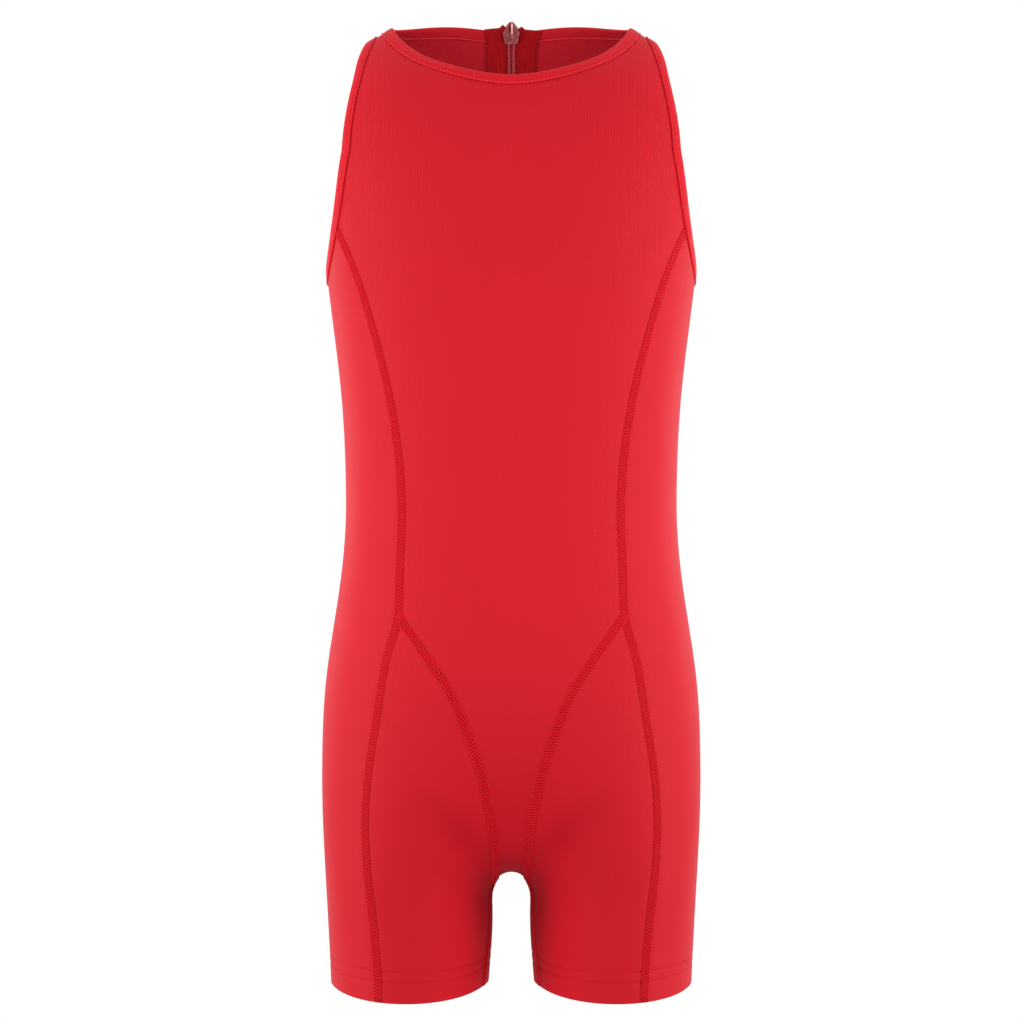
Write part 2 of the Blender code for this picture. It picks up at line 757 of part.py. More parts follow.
def add_tapes(seams, material):
    z = zip_rows(seams, ZIP_TOP, zip_end_z(seams) - TAPE_TAIL)
    across = np.array([TAPE_INNER, ZIP_CHANNEL, 11.0, TAPE_OUTER])
    near = under_back(across, z[:, None], TAPE_DEPTH)
    far = under_back(across, z[:, None], TAPE_DEPTH + TAPE_THICKNESS)
    rings = np.concatenate([near, far[:, ::-1]], axis=1)
    faces = tube_faces(len(rings), rings.shape[1], closed=False)
    for side in ("right", "left"):
        points = rings.reshape(-1, 3)
        points = points if side == "right" else mirrored(points)
        add_object(f"zip_tape_{side}", points, faces, material)


def add_coils(seams, material):
    """Each row of coil as a six-sided strand beside its tape."""
    z = zip_rows(seams, CHAIN_TOP, zip_end_z(seams) + CHAIN_END)
    middle = TAPE_DEPTH + TAPE_THICKNESS / 2
    across = np.array([0, COIL_SHOULDER, COIL_WIDTH - COIL_SHOULDER, COIL_WIDTH])
    across = SEAM_GAP / 2 + np.concatenate([across, across[2:0:-1]])
    depth = middle + COIL_HALF * np.array([0, -1, -1, 0, 1, 1])
    rings = under_back(across, z[:, None], depth)
    faces = tube_faces(len(rings), rings.shape[1], closed=False)
    for side in ("right", "left"):
        points = rings.reshape(-1, 3)
        points = points if side == "right" else mirrored(points)
        add_object(f"zip_coil_{side}", points, faces, material)


def zip_frame(z):
    """Origin and axes of the zip at a height: across, up along it, and outwards."""
    depth = TAPE_DEPTH + TAPE_THICKNESS / 2
    on = cast(point(0.0, 0.0, z), (0, 1, 0))
    outward = unit(slope(on))
    across = np.array([1.0, 0.0, 0.0])
    return on - outward * depth, np.stack([across, np.cross(across, outward), outward])


def place(local, frame):
    origin, axes = frame
    return origin + np.asarray(local, float) @ axes


def prism(outline, low, high, axis):
    """An outline pushed along one local axis between two places."""
    corners = []
    for at in (low, high):
        for a, b in outline:
            corners.append({"w": (a, b, at), "u": (at, a, b)}[axis])
    count = len(outline)
    sides = [[i, (i + 1) % count, (i + 1) % count + count, i + count] for i in range(count)]
    return corners, sides + [list(range(count))[::-1], list(range(count, 2 * count))]


def both_sides(half):
    """A symmetric outline from its right half: distances from the middle against height."""
    return [(a, b) for a, b in half] + [(-a, b) for a, b in half[::-1]]


def add_helper(name, shape, frame):
    helper = add_object(name, place(shape[0], frame), shape[1], None)
    helper.hide_render = True
    helper.display_type = "WIRE"
    return helper


def combine(thing, helper, operation):
    modifier = thing.modifiers.new(helper.name, "BOOLEAN")
    modifier.operation = operation
    modifier.object = helper


def bail_arch():
    """The bail seen from its side, sunk into the outer plate at both feet."""
    outer = [
        (-BAIL_REACH, -JOIN_DEPTH),
        (-BAIL_REACH, BAIL_SHOULDER),
        (-BAIL_REACH + 1.2, BAIL_HEIGHT),
    ]
    inner = [
        (-BAIL_REACH + BAIL_THICKNESS + 0.7, BAIL_HEIGHT - BAIL_THICKNESS + 0.1),
        (-BAIL_REACH + BAIL_THICKNESS, BAIL_SHOULDER - 0.2),
        (-BAIL_REACH + BAIL_THICKNESS, -JOIN_DEPTH),
    ]
    other_outer = [(-v, w) for v, w in outer[::-1]]
    other_inner = [(-v, w) for v, w in inner[::-1]]
    ring = outer + other_outer + other_inner + inner
    return [(v + HINGE_UP, w + SLIDER_OUTER_FACE) for v, w in ring]


def add_slider(material):
    """Two plates joined by a post at the top, with an arched bail on the outer one."""
    frame = zip_frame(SLIDER_Z)
    face = SLIDER_OUTER_FACE
    outline = both_sides(SLIDER_OUTLINE)
    points, faces = prism(outline, SLIDER_ROOM, face, "w")
    slider = add_object("zip_slider", place(points, frame), faces, material)
    inner = prism(outline, -face, -SLIDER_ROOM, "w")
    half_post = SLIDER_ROOM + JOIN_DEPTH
    post = prism(both_sides(POST_OUTLINE), -half_post, half_post, "w")
    bail = prism(bail_arch(), -BAIL_HALF, BAIL_HALF, "u")
    combine(slider, add_helper("slider_post", post, frame), "UNION")
    combine(slider, add_helper("slider_bail", bail, frame), "UNION")
    combine(slider, add_helper("slider_inner_plate", inner, frame), "UNION")


def hinge_point():
    return place((0.0, HINGE_UP, SLIDER_OUTER_FACE + HINGE_RISE), zip_frame(SLIDER_Z))


def add_pull(material):
    """The pull tab lies down along the zip. Its window goes round a leg of the bail, and
    the bar above the window turns under the arch."""
    origin = hinge_point()
    frame = (np.zeros(3), zip_frame(SLIDER_Z)[1])
    bar = PULL_THICKNESS / 2
    points, faces = prism(both_sides(PULL_OUTLINE), -bar, bar, "w")
    pull = add_object("zip_pull", place(points, frame), faces, material)
    window = both_sides([(WINDOW_HALF, -bar - WINDOW_LENGTH), (WINDOW_HALF, -bar)])
    cutter = prism(window, -2 * bar, 2 * bar, "w")
    helper = add_helper("pull_window", cutter, frame)
    combine(pull, helper, "DIFFERENCE")
    for thing in (pull, helper):
        thing.location = origin * METRES


def add_bottom_stop(seams, material):
    frame = zip_frame(zip_end_z(seams) + CHAIN_END - SEAM_GAP)
    outline = both_sides([(STOP_HALF, -STOP_HEIGHT), (STOP_HALF, 0.0)])
    points, faces = prism(outline, -COIL_HALF, COIL_HALF, "w")
    add_object("zip_bottom_stop", place(points, frame), faces, material)


def clear_scene():
    for thing in list(bpy.data.objects):
        bpy.data.objects.remove(thing, do_unlink=True)


def main():
    clear_scene()
    seams = make_seams()
    knit = coloured("red_knit", (0.72, 0.035, 0.05), 0.65)
    trim = coloured("red_binding", (0.78, 0.05, 0.06), 0.6)
    add_front_panel(seams, knit)
    add_front_leg(seams, knit)
    add_side_panel(seams, knit)
    add_back_panel(seams, knit)
    add_bindings(seams, trim)
    woven = coloured("zip_tape", (0.45, 0.012, 0.02), 0.8)
    nylon = coloured("zip_coil", (0.50, 0.02, 0.03), 0.45)
    painted = coloured("painted_zinc", (0.42, 0.07, 0.08), 0.4, metallic=0.2)
    add_tapes(seams, woven)
    add_coils(seams, nylon)
    add_bottom_stop(seams, painted)
    add_slider(painted)
    add_pull(painted)


main()
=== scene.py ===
"""Dresses the gymnastics bodysuit: its knit panels, bindings, sewing and zip.

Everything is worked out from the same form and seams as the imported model, in
millimetres, for the wearer's right half (x below zero), and mirrored for the left. The
front faces -Y, and the origin lies between the undersides of the two shoulder straps.
"""

import functools
import json
import math

import bmesh
import bpy
import numpy as np
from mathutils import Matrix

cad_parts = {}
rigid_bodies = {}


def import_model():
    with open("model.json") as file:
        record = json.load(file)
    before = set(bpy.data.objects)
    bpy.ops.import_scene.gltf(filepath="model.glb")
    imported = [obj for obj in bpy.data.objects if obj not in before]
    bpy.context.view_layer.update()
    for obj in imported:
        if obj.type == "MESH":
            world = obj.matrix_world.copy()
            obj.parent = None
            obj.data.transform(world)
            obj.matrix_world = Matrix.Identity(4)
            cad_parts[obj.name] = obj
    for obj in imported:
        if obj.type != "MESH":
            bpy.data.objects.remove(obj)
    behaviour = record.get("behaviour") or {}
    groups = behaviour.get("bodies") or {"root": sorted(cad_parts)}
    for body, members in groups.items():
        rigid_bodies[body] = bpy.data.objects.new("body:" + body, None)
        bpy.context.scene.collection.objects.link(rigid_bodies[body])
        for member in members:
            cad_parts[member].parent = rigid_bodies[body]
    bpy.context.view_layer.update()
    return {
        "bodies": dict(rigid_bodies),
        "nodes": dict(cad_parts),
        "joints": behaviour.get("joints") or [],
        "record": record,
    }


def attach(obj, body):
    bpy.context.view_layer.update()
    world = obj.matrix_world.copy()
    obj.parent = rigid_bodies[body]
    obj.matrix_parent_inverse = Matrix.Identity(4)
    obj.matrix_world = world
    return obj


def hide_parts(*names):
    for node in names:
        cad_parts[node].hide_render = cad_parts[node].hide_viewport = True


bl_info = {
    "name": "Gymnastics bodysuit",
    "version": (1, 0, 0),
    "blender": (4, 5, 0),
    "location": "3D View > Sidebar > Bodysuit",
    "description": "Builds the cloth, sewing and zip of a gymnastics bodysuit",
    "category": "Object",
}

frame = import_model()

MM = 0.001
SIDES = (("right", False), ("left", True))

WALL = 1.2
HEM_WALL = 2.2
HEM_DEPTH = 20.0
SEAM_GAP = 0.3
BINDING_WIDTH = 8.0
BINDING_REACH = BINDING_WIDTH + SEAM_GAP

NECK_HALF_WIDTH = 77.0
NECK_FRONT = 61.0
NECK_BACK = 45.8
NECK_BACK_POWER = 1.9
NECK_CAST_FROM = -70.0
NECK_CAST_REACH = 92.0

ARMHOLE_TOP = -2.0
ARMHOLE_BOTTOM = -151.0
ARMHOLE_HALF_DEPTH = 45.0
ARMHOLE_POWER = 2.3
ARMHOLE_TAPER = 0.3
SHOULDER_SEAM_Y = 7.0

HEM_Z = -614.0
HEM_TOP_Z = -588.0
HUB_Z = -476.0
FORK_Z = -551.0
CROSS_DROP = 3.0
INSEAM_CAST_REACH = 120.0
JUNCTION_Z = -371.0

ZIP_LENGTH = 250.0
ZIP_CHANNEL = 6.0
ZIP_FADE = 12.0
ZIP_TOP = 15.0
CHAIN_TOP = 12.4
CHAIN_END = 10.0
TAPE_OUTER = 16.0
TAPE_DEPTH = 2.05
TAPE_THICKNESS = 0.8
TAPE_TAIL = 6.0

# Half width of the form seen from the front, outside to outside of both halves together.
FRONT_VIEW = (  # z, half width
    (22, 62), (15.5, 67.5), (7.5, 78), (1.4, 88.2), (-3, 95.5), (-13, 105.4), (-26, 109.6),
    (-44, 115), (-84, 122.8), (-110, 122.8), (-149, 119.8), (-181, 116), (-233, 110),
    (-285, 107.4), (-311, 107.4), (-363, 112.6), (-415, 120.2), (-460, 122.6),
    (-500, 122.4), (-552, 119.8), (-614, 117),
)

# Depth of the form seen from the side, in front of and behind the shoulder line.
SIDE_VIEW = (  # z, front depth, back depth, power of the section's outline
    (22, 20, 41.6, 2.3), (15.5, 22, 44.8, 2.3), (7.5, 24.5, 48.3, 2.3),
    (-2.4, 33, 52.2, 2.3), (-13, 44, 55.9, 2.35), (-26, 57.5, 60, 2.4), (-44, 68, 65, 2.45),
    (-84, 77.5, 73.2, 2.5), (-149, 81, 79, 2.5), (-207, 77, 72, 2.45),
    (-259, 73, 64.5, 2.4), (-311, 72.5, 63.5, 2.4), (-363, 76, 74, 2.35),
    (-411, 78, 88, 2.3), (-456, 75.5, 93, 2.25), (-506, 70, 84, 2.25),
    (-552, 66.5, 73, 2.2), (-614, 65, 66, 1.97),
)

# How far each half's own centre lies from the middle, and how softly the halves join.
LEG_SPLIT = (  # z, centre, blend
    (-330, 0, 0.1), (-363, 2, 0.5), (-411, 14, 4), (-456, 31, 12), (-486, 45, 24),
    (-506, 53, 33), (-521, 58.5, 39), (-531, 62.3, 41), (-539, 65.3, 42), (-546, 66.5, 42),
    (-564, 66.6, 42), (-614, 66.3, 42),
)

# Front seam from the armhole to the hem, along the side of the front.
SIDE_FRONT_SEAM = (  # z, distance from the middle
    (-120, 114), (-153, 99.4), (-191, 87.2), (-229, 77.7), (-267, 71.5), (-305, 69),
    (-355, 70.5), (-371, 71.3), (-393, 77.1), (-431, 84), (-469, 89.9), (-494, 91.9),
    (-532, 90.6), (-571, 86.3), (-614, 83.4),
)

# Leg seam from the junction to the crotch, down to the height of the hub.
LEG_SEAM = (  # z, distance from the middle
    (-371, 71.3), (-392.5, 55.9), (-417, 39.5), (-442, 28.3), (-467.5, 19.5), (-476, 17.2),
)
# The same seam on, where it turns under the hub.
LEG_SEAM_UNDER = (  # degrees below the level, distance from the middle
    (0, 17.2), (16, 13.3), (29, 10.9), (43, 9.9), (90, 9.6),
)

# Seam of the inner leg, from the crotch to the hem.
INSEAM = (  # z, y
    (-540, 0), (-564, -12), (-597, -19), (-614, -20.5),
)

# Back seam from the armhole to the hem, along the side of the back.
SIDE_BACK_SEAM = (  # z, distance from the middle
    (-120, 112), (-153, 98), (-191, 87), (-250, 77), (-311, 73), (-371, 78), (-431, 88),
    (-494, 92), (-552, 88), (-614, 84),
)

# Soft troughs of the cloth, each along a line on the front or the back.
CREASES = (  # face, start x, start z, end x, end z, half width, depth
    ("front", -20, -525, -48, -496, 12, 5.4), ("front", 20, -526, 49, -497, 12, 5.1),
    ("front", -24, -549, -44, -530, 20, 2.9), ("front", 24, -550, 44, -531, 20, 2.7),
    ("front", 0, -455, 0, -545, 28, 2.2), ("front", -9, -500, -12, -470, 5, 0.5),
    ("front", 10, -503, 12, -475, 5, 0.5), ("front", -96, -112, -78, -150, 9, 0.7),
    ("front", 95, -108, 76, -148, 9, 0.7), ("back", -26, -524, -78, -508, 14, 2.6),
    ("back", 27, -526, 80, -510, 14, 2.6), ("back", -66, -292, -12, -304, 9, 1.1),
    ("back", 60, -300, 8, -312, 10, 1.2), ("back", -40, -330, 44, -338, 12, 1),
    ("back", -14, -232, -30, -250, 6, 0.7), ("back", 13, -236, 28, -256, 6, 0.7),
    ("back", -98, -104, -70, -120, 8, 0.8), ("back", 98, -100, 68, -118, 8, 0.8),
)

# How many steps each seam is cut into, the same on both of its sides.
FINE = 6
NECK_FRONT_STEPS = 12 * FINE
NECK_BACK_STEPS = 10 * FINE
ARMHOLE_FRONT_STEPS = 16 * FINE
ARMHOLE_UNDER_STEPS = 8 * FINE
ARMHOLE_BACK_STEPS = 18 * FINE
SIDE_SEAM_STEPS = 18 * FINE
LEG_SEAM_STEPS = 14 * FINE
THIGH_STEPS = 3 * FINE
HEM_STEPS = 39
CROSS_STEPS = 6
FRONT_COLUMNS = 7 * FINE
BACK_COLUMNS = 7 * FINE
LEG_COLUMNS = 6 * FINE
UNDERARM_RELAX = 8 * FINE
POINT_START = 0.3
EDGE_GAP = 0.05
EDGE_DIP = 0.3

# The folded binding seen end on: from its turning under the cloth's edge over its outside,
# round the free edge and back, then along the inside of its fold.
BINDING_PROFILE = (  # distance from the sewn edge, height over the cloth's outer face
    (-0.7, -0.5), (0.12, -0.54), (0.12, 0.45), (0.35, 0.76), (0.75, 0.84), (1.15, 0.58),
    (1.5, 0.22), (1.9, 0.3), (2.4, 0.52), (3.8, 0.64), (5.6, 0.62), (7.1, 0.52),
    (7.85, 0.24), (8.22, -0.2), (8.3, -0.6), (8.22, -1), (7.85, -1.44), (7.1, -1.7),
    (5, -1.8), (2.4, -1.74), (1.5, -1.42), (1.15, -1.7), (0.75, -1.92), (0.35, -1.86),
    (0.12, -1.55), (0.12, -1.16), (3, -1.22), (6.8, -1.14), (7.5, -0.6), (6.8, -0.04),
    (3, 0.04), (0.55, 0.02), (0.5, -0.66), (-0.7, -0.66),
)


def in_mm(length):
    """A property holds metres, and the shapes are worked out in millimetres."""
    return length / MM


def linear(hex_colour):
    """An sRGB hex colour as linear red, green and blue."""
    values = np.array([int(hex_colour[i : i + 2], 16) for i in (1, 3, 5)]) / 255
    curve = np.where(values <= 0.04045, values / 12.92, ((values + 0.055) / 1.055) ** 2.4)
    return tuple(float(v) for v in curve)


def spline(rows, column=1):
    """The natural cubic spline of one column of a table against its first column. Its
    bends come from one set of equations, a row for each inner point."""
    table = np.array(sorted(rows), float)
    at, value = table[:, 0], table[:, column]
    step = np.diff(at)
    slopes = np.diff(value) / step
    count = len(at)
    system = np.eye(count)
    right_side = np.zeros(count)
    for i in range(1, count - 1):
        system[i, i - 1 : i + 2] = step[i - 1], 2 * (step[i - 1] + step[i]), step[i]
        right_side[i] = 6 * (slopes[i] - slopes[i - 1])
    bend = np.linalg.solve(system, right_side)

    def curve(where):
        where = np.clip(where, at[0], at[-1])
        i = np.clip(np.searchsorted(at, where, side="right") - 1, 0, count - 2)
        after = where - at[i]
        before = at[i + 1] - where
        cubic = (bend[i] * before**3 + bend[i + 1] * after**3) / (6 * step[i])
        first = (value[i] / step[i] - bend[i] * step[i] / 6) * before
        second = (value[i + 1] / step[i] - bend[i + 1] * step[i] / 6) * after
        return cubic + first + second

    return curve


half_width = spline(FRONT_VIEW)
front_depth = spline(SIDE_VIEW, 1)
back_depth = spline(SIDE_VIEW, 2)
section_power = spline(SIDE_VIEW, 3)
leg_centre = spline(LEG_SPLIT, 1)
leg_blend = spline(LEG_SPLIT, 2)
side_front_x = spline(SIDE_FRONT_SEAM)
side_back_x = spline(SIDE_BACK_SEAM)
leg_seam_x = spline(LEG_SEAM)
leg_seam_under_x = spline(LEG_SEAM_UNDER)
inseam_y = spline(INSEAM)


def point(x, y, z):
    return np.stack(np.broadcast_arrays(x, y, z), axis=-1).astype(float)


def unit(v):
    return v / np.maximum(np.linalg.norm(v, axis=-1, keepdims=True), 1e-12)


def mirrored(points):
    return points * np.array([-1.0, 1.0, 1.0])


def centre_of(z):
    return np.maximum(leg_centre(z), 0.0)


def form(p):
    """Distance measure from the body form. Each half is a superellipse about its own
    centre, (|x| / across)^n + (|y| / depth)^n = 1, and the two are joined by a union
    rounded over the blend length."""
    x, y, z = p[..., 0], p[..., 1], p[..., 2]
    centre = centre_of(z)
    across = half_width(z) - centre
    depth = np.where(y < 0, front_depth(z), back_depth(z))
    power = section_power(z)
    blend = np.maximum(leg_blend(z), 0.1)
    deep = (np.abs(y) / depth) ** power
    right = (((np.abs(x + centre) / across) ** power + deep) ** (1 / power) - 1) * across
    left = (((np.abs(x - centre) / across) ** power + deep) ** (1 / power) - 1) * across
    near = np.maximum(blend - np.abs(right - left), 0)
    return np.minimum(right, left) - near**2 / (4 * blend)


def slope(p, step=0.05):
    """The form's gradient, from its values a small step to either side along each axis."""
    parts = []
    for axis in np.eye(3) * step:
        parts.append((form(p + axis) - form(p - axis)) / (2 * step))
    return np.stack(parts, axis=-1)


def outward(p):
    return unit(slope(p))


def onto_form(p, rounds=8):
    """Moves points along the form's slope until they lie on it."""
    for _ in range(rounds):
        g = slope(p)
        p = p - (form(p) / np.maximum((g * g).sum(-1), 1e-9))[..., None] * g
    return p


def cast(start, direction, reach=150.0):
    """Goes from inside the form along a direction until it leaves it, by bisection."""
    direction = np.broadcast_to(np.asarray(direction, float), start.shape)
    low = np.zeros(start.shape[:-1])
    high = np.full(start.shape[:-1], reach)
    for _ in range(36):
        middle = (low + high) / 2
        inside = form(start + middle[..., None] * direction) < 0
        low = np.where(inside, middle, low)
        high = np.where(inside, high, middle)
    return start + low[..., None] * direction


def arc_run(curve):
    """Distance along a curve to each of its points."""
    return np.concatenate([[0], np.cumsum(np.linalg.norm(np.diff(curve, axis=0), axis=1))])


def at_distance(curve, distance):
    run = arc_run(curve)
    return np.stack([np.interp(distance, run, curve[:, i]) for i in range(3)], axis=-1)


def along(curve, count):
    """Points spaced evenly along a dense curve."""
    return at_distance(curve, np.linspace(0, arc_run(curve)[-1], count + 1))


def tangents(curve):
    return unit(np.gradient(curve, axis=0))


def offset(curve, sign, distance):
    """A curve on the form, moved sideways over it by a distance."""
    sideways = np.cross(slope(curve), tangents(curve)) * sign
    return onto_form(curve + unit(sideways) * distance)


def neck_curve(angle):
    """Free edge of the neck at an angle from the middle front: an oval seen from above."""
    x = -NECK_HALF_WIDTH * np.sin(angle)
    share = np.abs(np.sin(angle)) ** NECK_BACK_POWER
    back = NECK_BACK * np.maximum(1 - share, 0) ** (1 / NECK_BACK_POWER)
    y = np.where(np.cos(angle) > 0, -NECK_FRONT * np.cos(angle), back)
    return cast(point(x, y, NECK_CAST_FROM), (0, 0, 1), NECK_CAST_REACH)


def armhole_curve(angle):
    """Free edge of the armhole at an angle from its top, front first: an oval from the side."""
    middle = (ARMHOLE_TOP + ARMHOLE_BOTTOM) / 2
    half_height = (ARMHOLE_TOP - ARMHOLE_BOTTOM) / 2
    share = 2 / ARMHOLE_POWER
    up = np.sign(np.cos(angle)) * np.abs(np.cos(angle)) ** share
    fore = np.sign(np.sin(angle)) * np.abs(np.sin(angle)) ** share
    fore = fore * (1 - ARMHOLE_TAPER * np.maximum(up, 0))
    start = point(0.0, -ARMHOLE_HALF_DEPTH * fore, middle + half_height * up)
    return cast(start, (-1, 0, 0))


def crossing(values, angles, low=-np.pi, high=2 * np.pi):
    """Index, with its fraction, where values first change sign between two angles."""
    within = (angles[:-1] >= low) & (angles[1:] <= high)
    i = np.flatnonzero(within & (values[:-1] * values[1:] <= 0))[0]
    return i + values[i] / (values[i] - values[i + 1])


def piece_of(curve, start, end):
    """The stretch of a dense curve between two fractional indices."""
    inner = np.arange(int(np.ceil(start + 1e-6)), int(np.floor(end - 1e-6)) + 1)
    where = np.concatenate([[start], inner, [end]])
    index = np.arange(len(curve))
    return np.stack([np.interp(where, index, curve[:, i]) for i in range(3)], axis=-1)


def level(values, old_range, new_range):
    """Maps heights from one range onto another, so that partner stations lie level."""
    share = (values - old_range[0]) / (old_range[1] - old_range[0])
    return new_range[0] + share * (new_range[1] - new_range[0])


def fan(x, degrees):
    """Points on the form in a lengthwise plane, by the angle below the level at the hub."""
    turn = np.radians(degrees)
    start = point(x, 0.0 * turn, HUB_Z)
    direction = np.stack([0 * turn, -np.cos(turn), -np.sin(turn)], axis=-1)
    return cast(start, direction)


def zip_end_z(seams):
    return seams["neck_back"][-1, 2] - ZIP_LENGTH


def upper_seams():
    """The seams of the neck and the armhole as stations that both of their sides share."""
    seams = {}
    turn = np.linspace(0, np.pi, 721)
    neck_sewn = offset(neck_curve(turn), 1, BINDING_REACH)
    zip_edge = crossing(neck_sewn[:, 0] + ZIP_CHANNEL, turn, low=np.pi / 2)
    ridge = crossing(neck_sewn[:, 1] - SHOULDER_SEAM_Y, turn)
    parts = ((0, ridge, NECK_FRONT_STEPS), (ridge, zip_edge, NECK_BACK_STEPS))
    for name, (start, end, steps) in zip(("front", "back"), parts):
        seams["neck_" + name] = onto_form(along(piece_of(neck_sewn, start, end), steps))

    turn = np.linspace(-0.3, 2 * np.pi, 1441)
    arm_sewn = offset(armhole_curve(turn), 1, BINDING_REACH)
    shoulder = crossing(arm_sewn[:, 1] - SHOULDER_SEAM_Y, turn)
    past_front = -arm_sewn[:, 0] - side_front_x(arm_sewn[:, 2])
    lower_front = crossing(past_front, turn, np.pi / 2, np.pi)
    past_back = -arm_sewn[:, 0] - side_back_x(arm_sewn[:, 2])
    lower_back = crossing(past_back, turn, np.pi, 1.5 * np.pi)
    around = crossing(arm_sewn[:, 1] - SHOULDER_SEAM_Y, turn, low=1.6 * np.pi)
    parts = (
        ("front", shoulder, lower_front, ARMHOLE_FRONT_STEPS),
        ("under", lower_front, lower_back, ARMHOLE_UNDER_STEPS),
        ("back", lower_back, around, ARMHOLE_BACK_STEPS),
    )
    for name, start, end, steps in parts:
        seams["armhole_" + name] = onto_form(along(piece_of(arm_sewn, start, end), steps))
    return seams


@functools.lru_cache(maxsize=None)
def make_seams():
    """Every seam of the right half as stations that both of its sides share."""
    seams = upper_seams()
    z = np.linspace(seams["armhole_front"][-1, 2], JUNCTION_Z, 300)
    upper = cast(point(-side_front_x(z), 0.0, z), (0, -1, 0))
    seams["side_front"] = onto_form(along(upper, SIDE_SEAM_STEPS))

    z = np.linspace(JUNCTION_Z, HUB_Z, 200)
    degrees = np.linspace(0, 90, 200)
    above = cast(point(-leg_seam_x(z), 0.0, z), (0, -1, 0))
    under = fan(-leg_seam_under_x(degrees), degrees)
    seams["leg"] = onto_form(along(np.concatenate([above, under[1:]]), LEG_SEAM_STEPS))

    crotch = seams["leg"][-1]
    thigh = np.linspace(crotch[2], HEM_TOP_Z, THIGH_STEPS + 1)
    hem = np.linspace(HEM_TOP_Z, HEM_Z, HEM_STEPS + 1)
    z = np.concatenate([thigh, hem[1:]])
    inner = cast(point(-centre_of(z), inseam_y(z), z), (1, 0, 0), INSEAM_CAST_REACH)
    inner[0] = crotch
    seams["inseam"] = inner
    below_crotch = level(thigh, (crotch[2], HEM_TOP_Z), (FORK_Z, HEM_TOP_Z))
    below_crotch = np.concatenate([below_crotch, hem[1:]])

    beside = level(seams["leg"][:, 2], (JUNCTION_Z, crotch[2]), (JUNCTION_Z, FORK_Z))
    z = np.concatenate([beside, below_crotch[1:]])
    seams["outer_leg"] = cast(point(-side_front_x(z), 0.0, z), (0, -1, 0))

    steps = ARMHOLE_FRONT_STEPS + SIDE_SEAM_STEPS - NECK_FRONT_STEPS
    z = np.linspace(seams["neck_front"][0, 2], JUNCTION_Z, 300)
    above = along(cast(point(0.0, 0.0, z), (0, -1, 0)), steps)
    z = np.linspace(JUNCTION_Z, HUB_Z, 100)
    middle = np.concatenate([cast(point(0.0, 0.0, z), (0, -1, 0)), fan(0.0, degrees)[1:]])
    under = along(middle, LEG_SEAM_STEPS)
    seams["middle_front"] = onto_form(np.concatenate([above, under[1:]]))

    steps = ARMHOLE_BACK_STEPS + SIDE_SEAM_STEPS - NECK_BACK_STEPS
    z = np.linspace(seams["neck_back"][-1, 2], JUNCTION_Z, 300)
    open_share = np.clip((z - zip_end_z(seams)) / ZIP_FADE, 0, 1)
    above = along(cast(point(-ZIP_CHANNEL * open_share, 0.0, z), (0, 1, 0)), steps)
    z = np.linspace(JUNCTION_Z, HUB_Z, 100)
    middle = cast(point(0.0, 0.0, z), (0, 1, 0))
    middle = np.concatenate([middle, fan(0.0, 180 - degrees)[1:]])
    under = along(middle, LEG_SEAM_STEPS - CROSS_STEPS)
    seams["middle_back"] = onto_form(np.concatenate([above, under[1:]]))
    share = np.linspace(0, 1, 50)[:, None]
    cross = onto_form(middle[-1] * (1 - share) + crotch * share)
    cross[0], cross[-1] = middle[-1], crotch
    seams["cross"] = along(cross, CROSS_STEPS)

    start = ARMHOLE_BACK_STEPS - NECK_BACK_STEPS
    z = seams["middle_back"][start:, 2]
    armpit = seams["armhole_back"][0, 2]
    seat = level(z[: SIDE_SEAM_STEPS + 1], (z[0], JUNCTION_Z), (armpit, JUNCTION_Z))
    fork = level(z[SIDE_SEAM_STEPS:], (JUNCTION_Z, z[-1]), (JUNCTION_Z, FORK_Z + 2 * CROSS_DROP))
    across = np.linspace(FORK_Z + 2 * CROSS_DROP, FORK_Z, CROSS_STEPS + 1)[1:]
    z = np.concatenate([seat, fork[1:], across, below_crotch[1:]])
    seams["side_back"] = cast(point(-side_back_x(z), 0.0, z), (0, 1, 0))
    return seams


def chart(p, behind):
    """Angle from the front, radius and height about the half's own upright centre line."""
    x, y = p[..., 0] + centre_of(p[..., 2]), p[..., 1]
    angle = np.arctan2(-x, -y)
    if behind:
        angle = np.where(angle < 0, angle + 2 * np.pi, angle)
    return angle, np.hypot(x, y), p[..., 2]


def half_radius(angle, z):
    """Radius of one half's own section at an angle."""
    depth = np.where(np.cos(angle) > 0, front_depth(z), back_depth(z))
    across = half_width(z) - centre_of(z)
    power = section_power(z)
    parts = (np.abs(np.sin(angle)) / across) ** power + (np.abs(np.cos(angle)) / depth) ** power
    return parts ** (-1 / power)


def between(inner, outer, columns, behind=False, top=None):
    """A panel's grid between two seams. Each row runs from a station of the inner seam to
    its partner on the outer one, evenly in angle and height, and lies on the form. A top
    row, where given, bends the rows under it, and the bend fades over a few rows."""
    share = np.linspace(0, 1, columns + 1)
    angle_in, radius_in, z_in = chart(inner, behind)
    angle_out, radius_out, z_out = chart(outer, behind)
    angle = angle_in[:, None] * (1 - share) + angle_out[:, None] * share
    z = z_in[:, None] * (1 - share) + z_out[:, None] * share
    if top is not None:
        top_angle, _, top_z = chart(top, behind)
        fade = np.clip(1 - np.arange(len(inner)) / UNDERARM_RELAX, 0, 1)[:, None]
        angle = angle + fade * (top_angle - angle[0])
        z = z + fade * (top_z - z[0])
    ratio_in = radius_in / half_radius(angle_in, z_in)
    ratio_out = radius_out / half_radius(angle_out, z_out)
    ratio = ratio_in[:, None] * (1 - share) + ratio_out[:, None] * share
    radius = half_radius(angle, z) * ratio
    guess = point(-radius * np.sin(angle) - centre_of(z), -radius * np.cos(angle), z)
    grid = onto_form(guess)
    grid[:, 0], grid[:, -1] = inner, outer
    if top is not None:
        grid[0] = top
    return grid


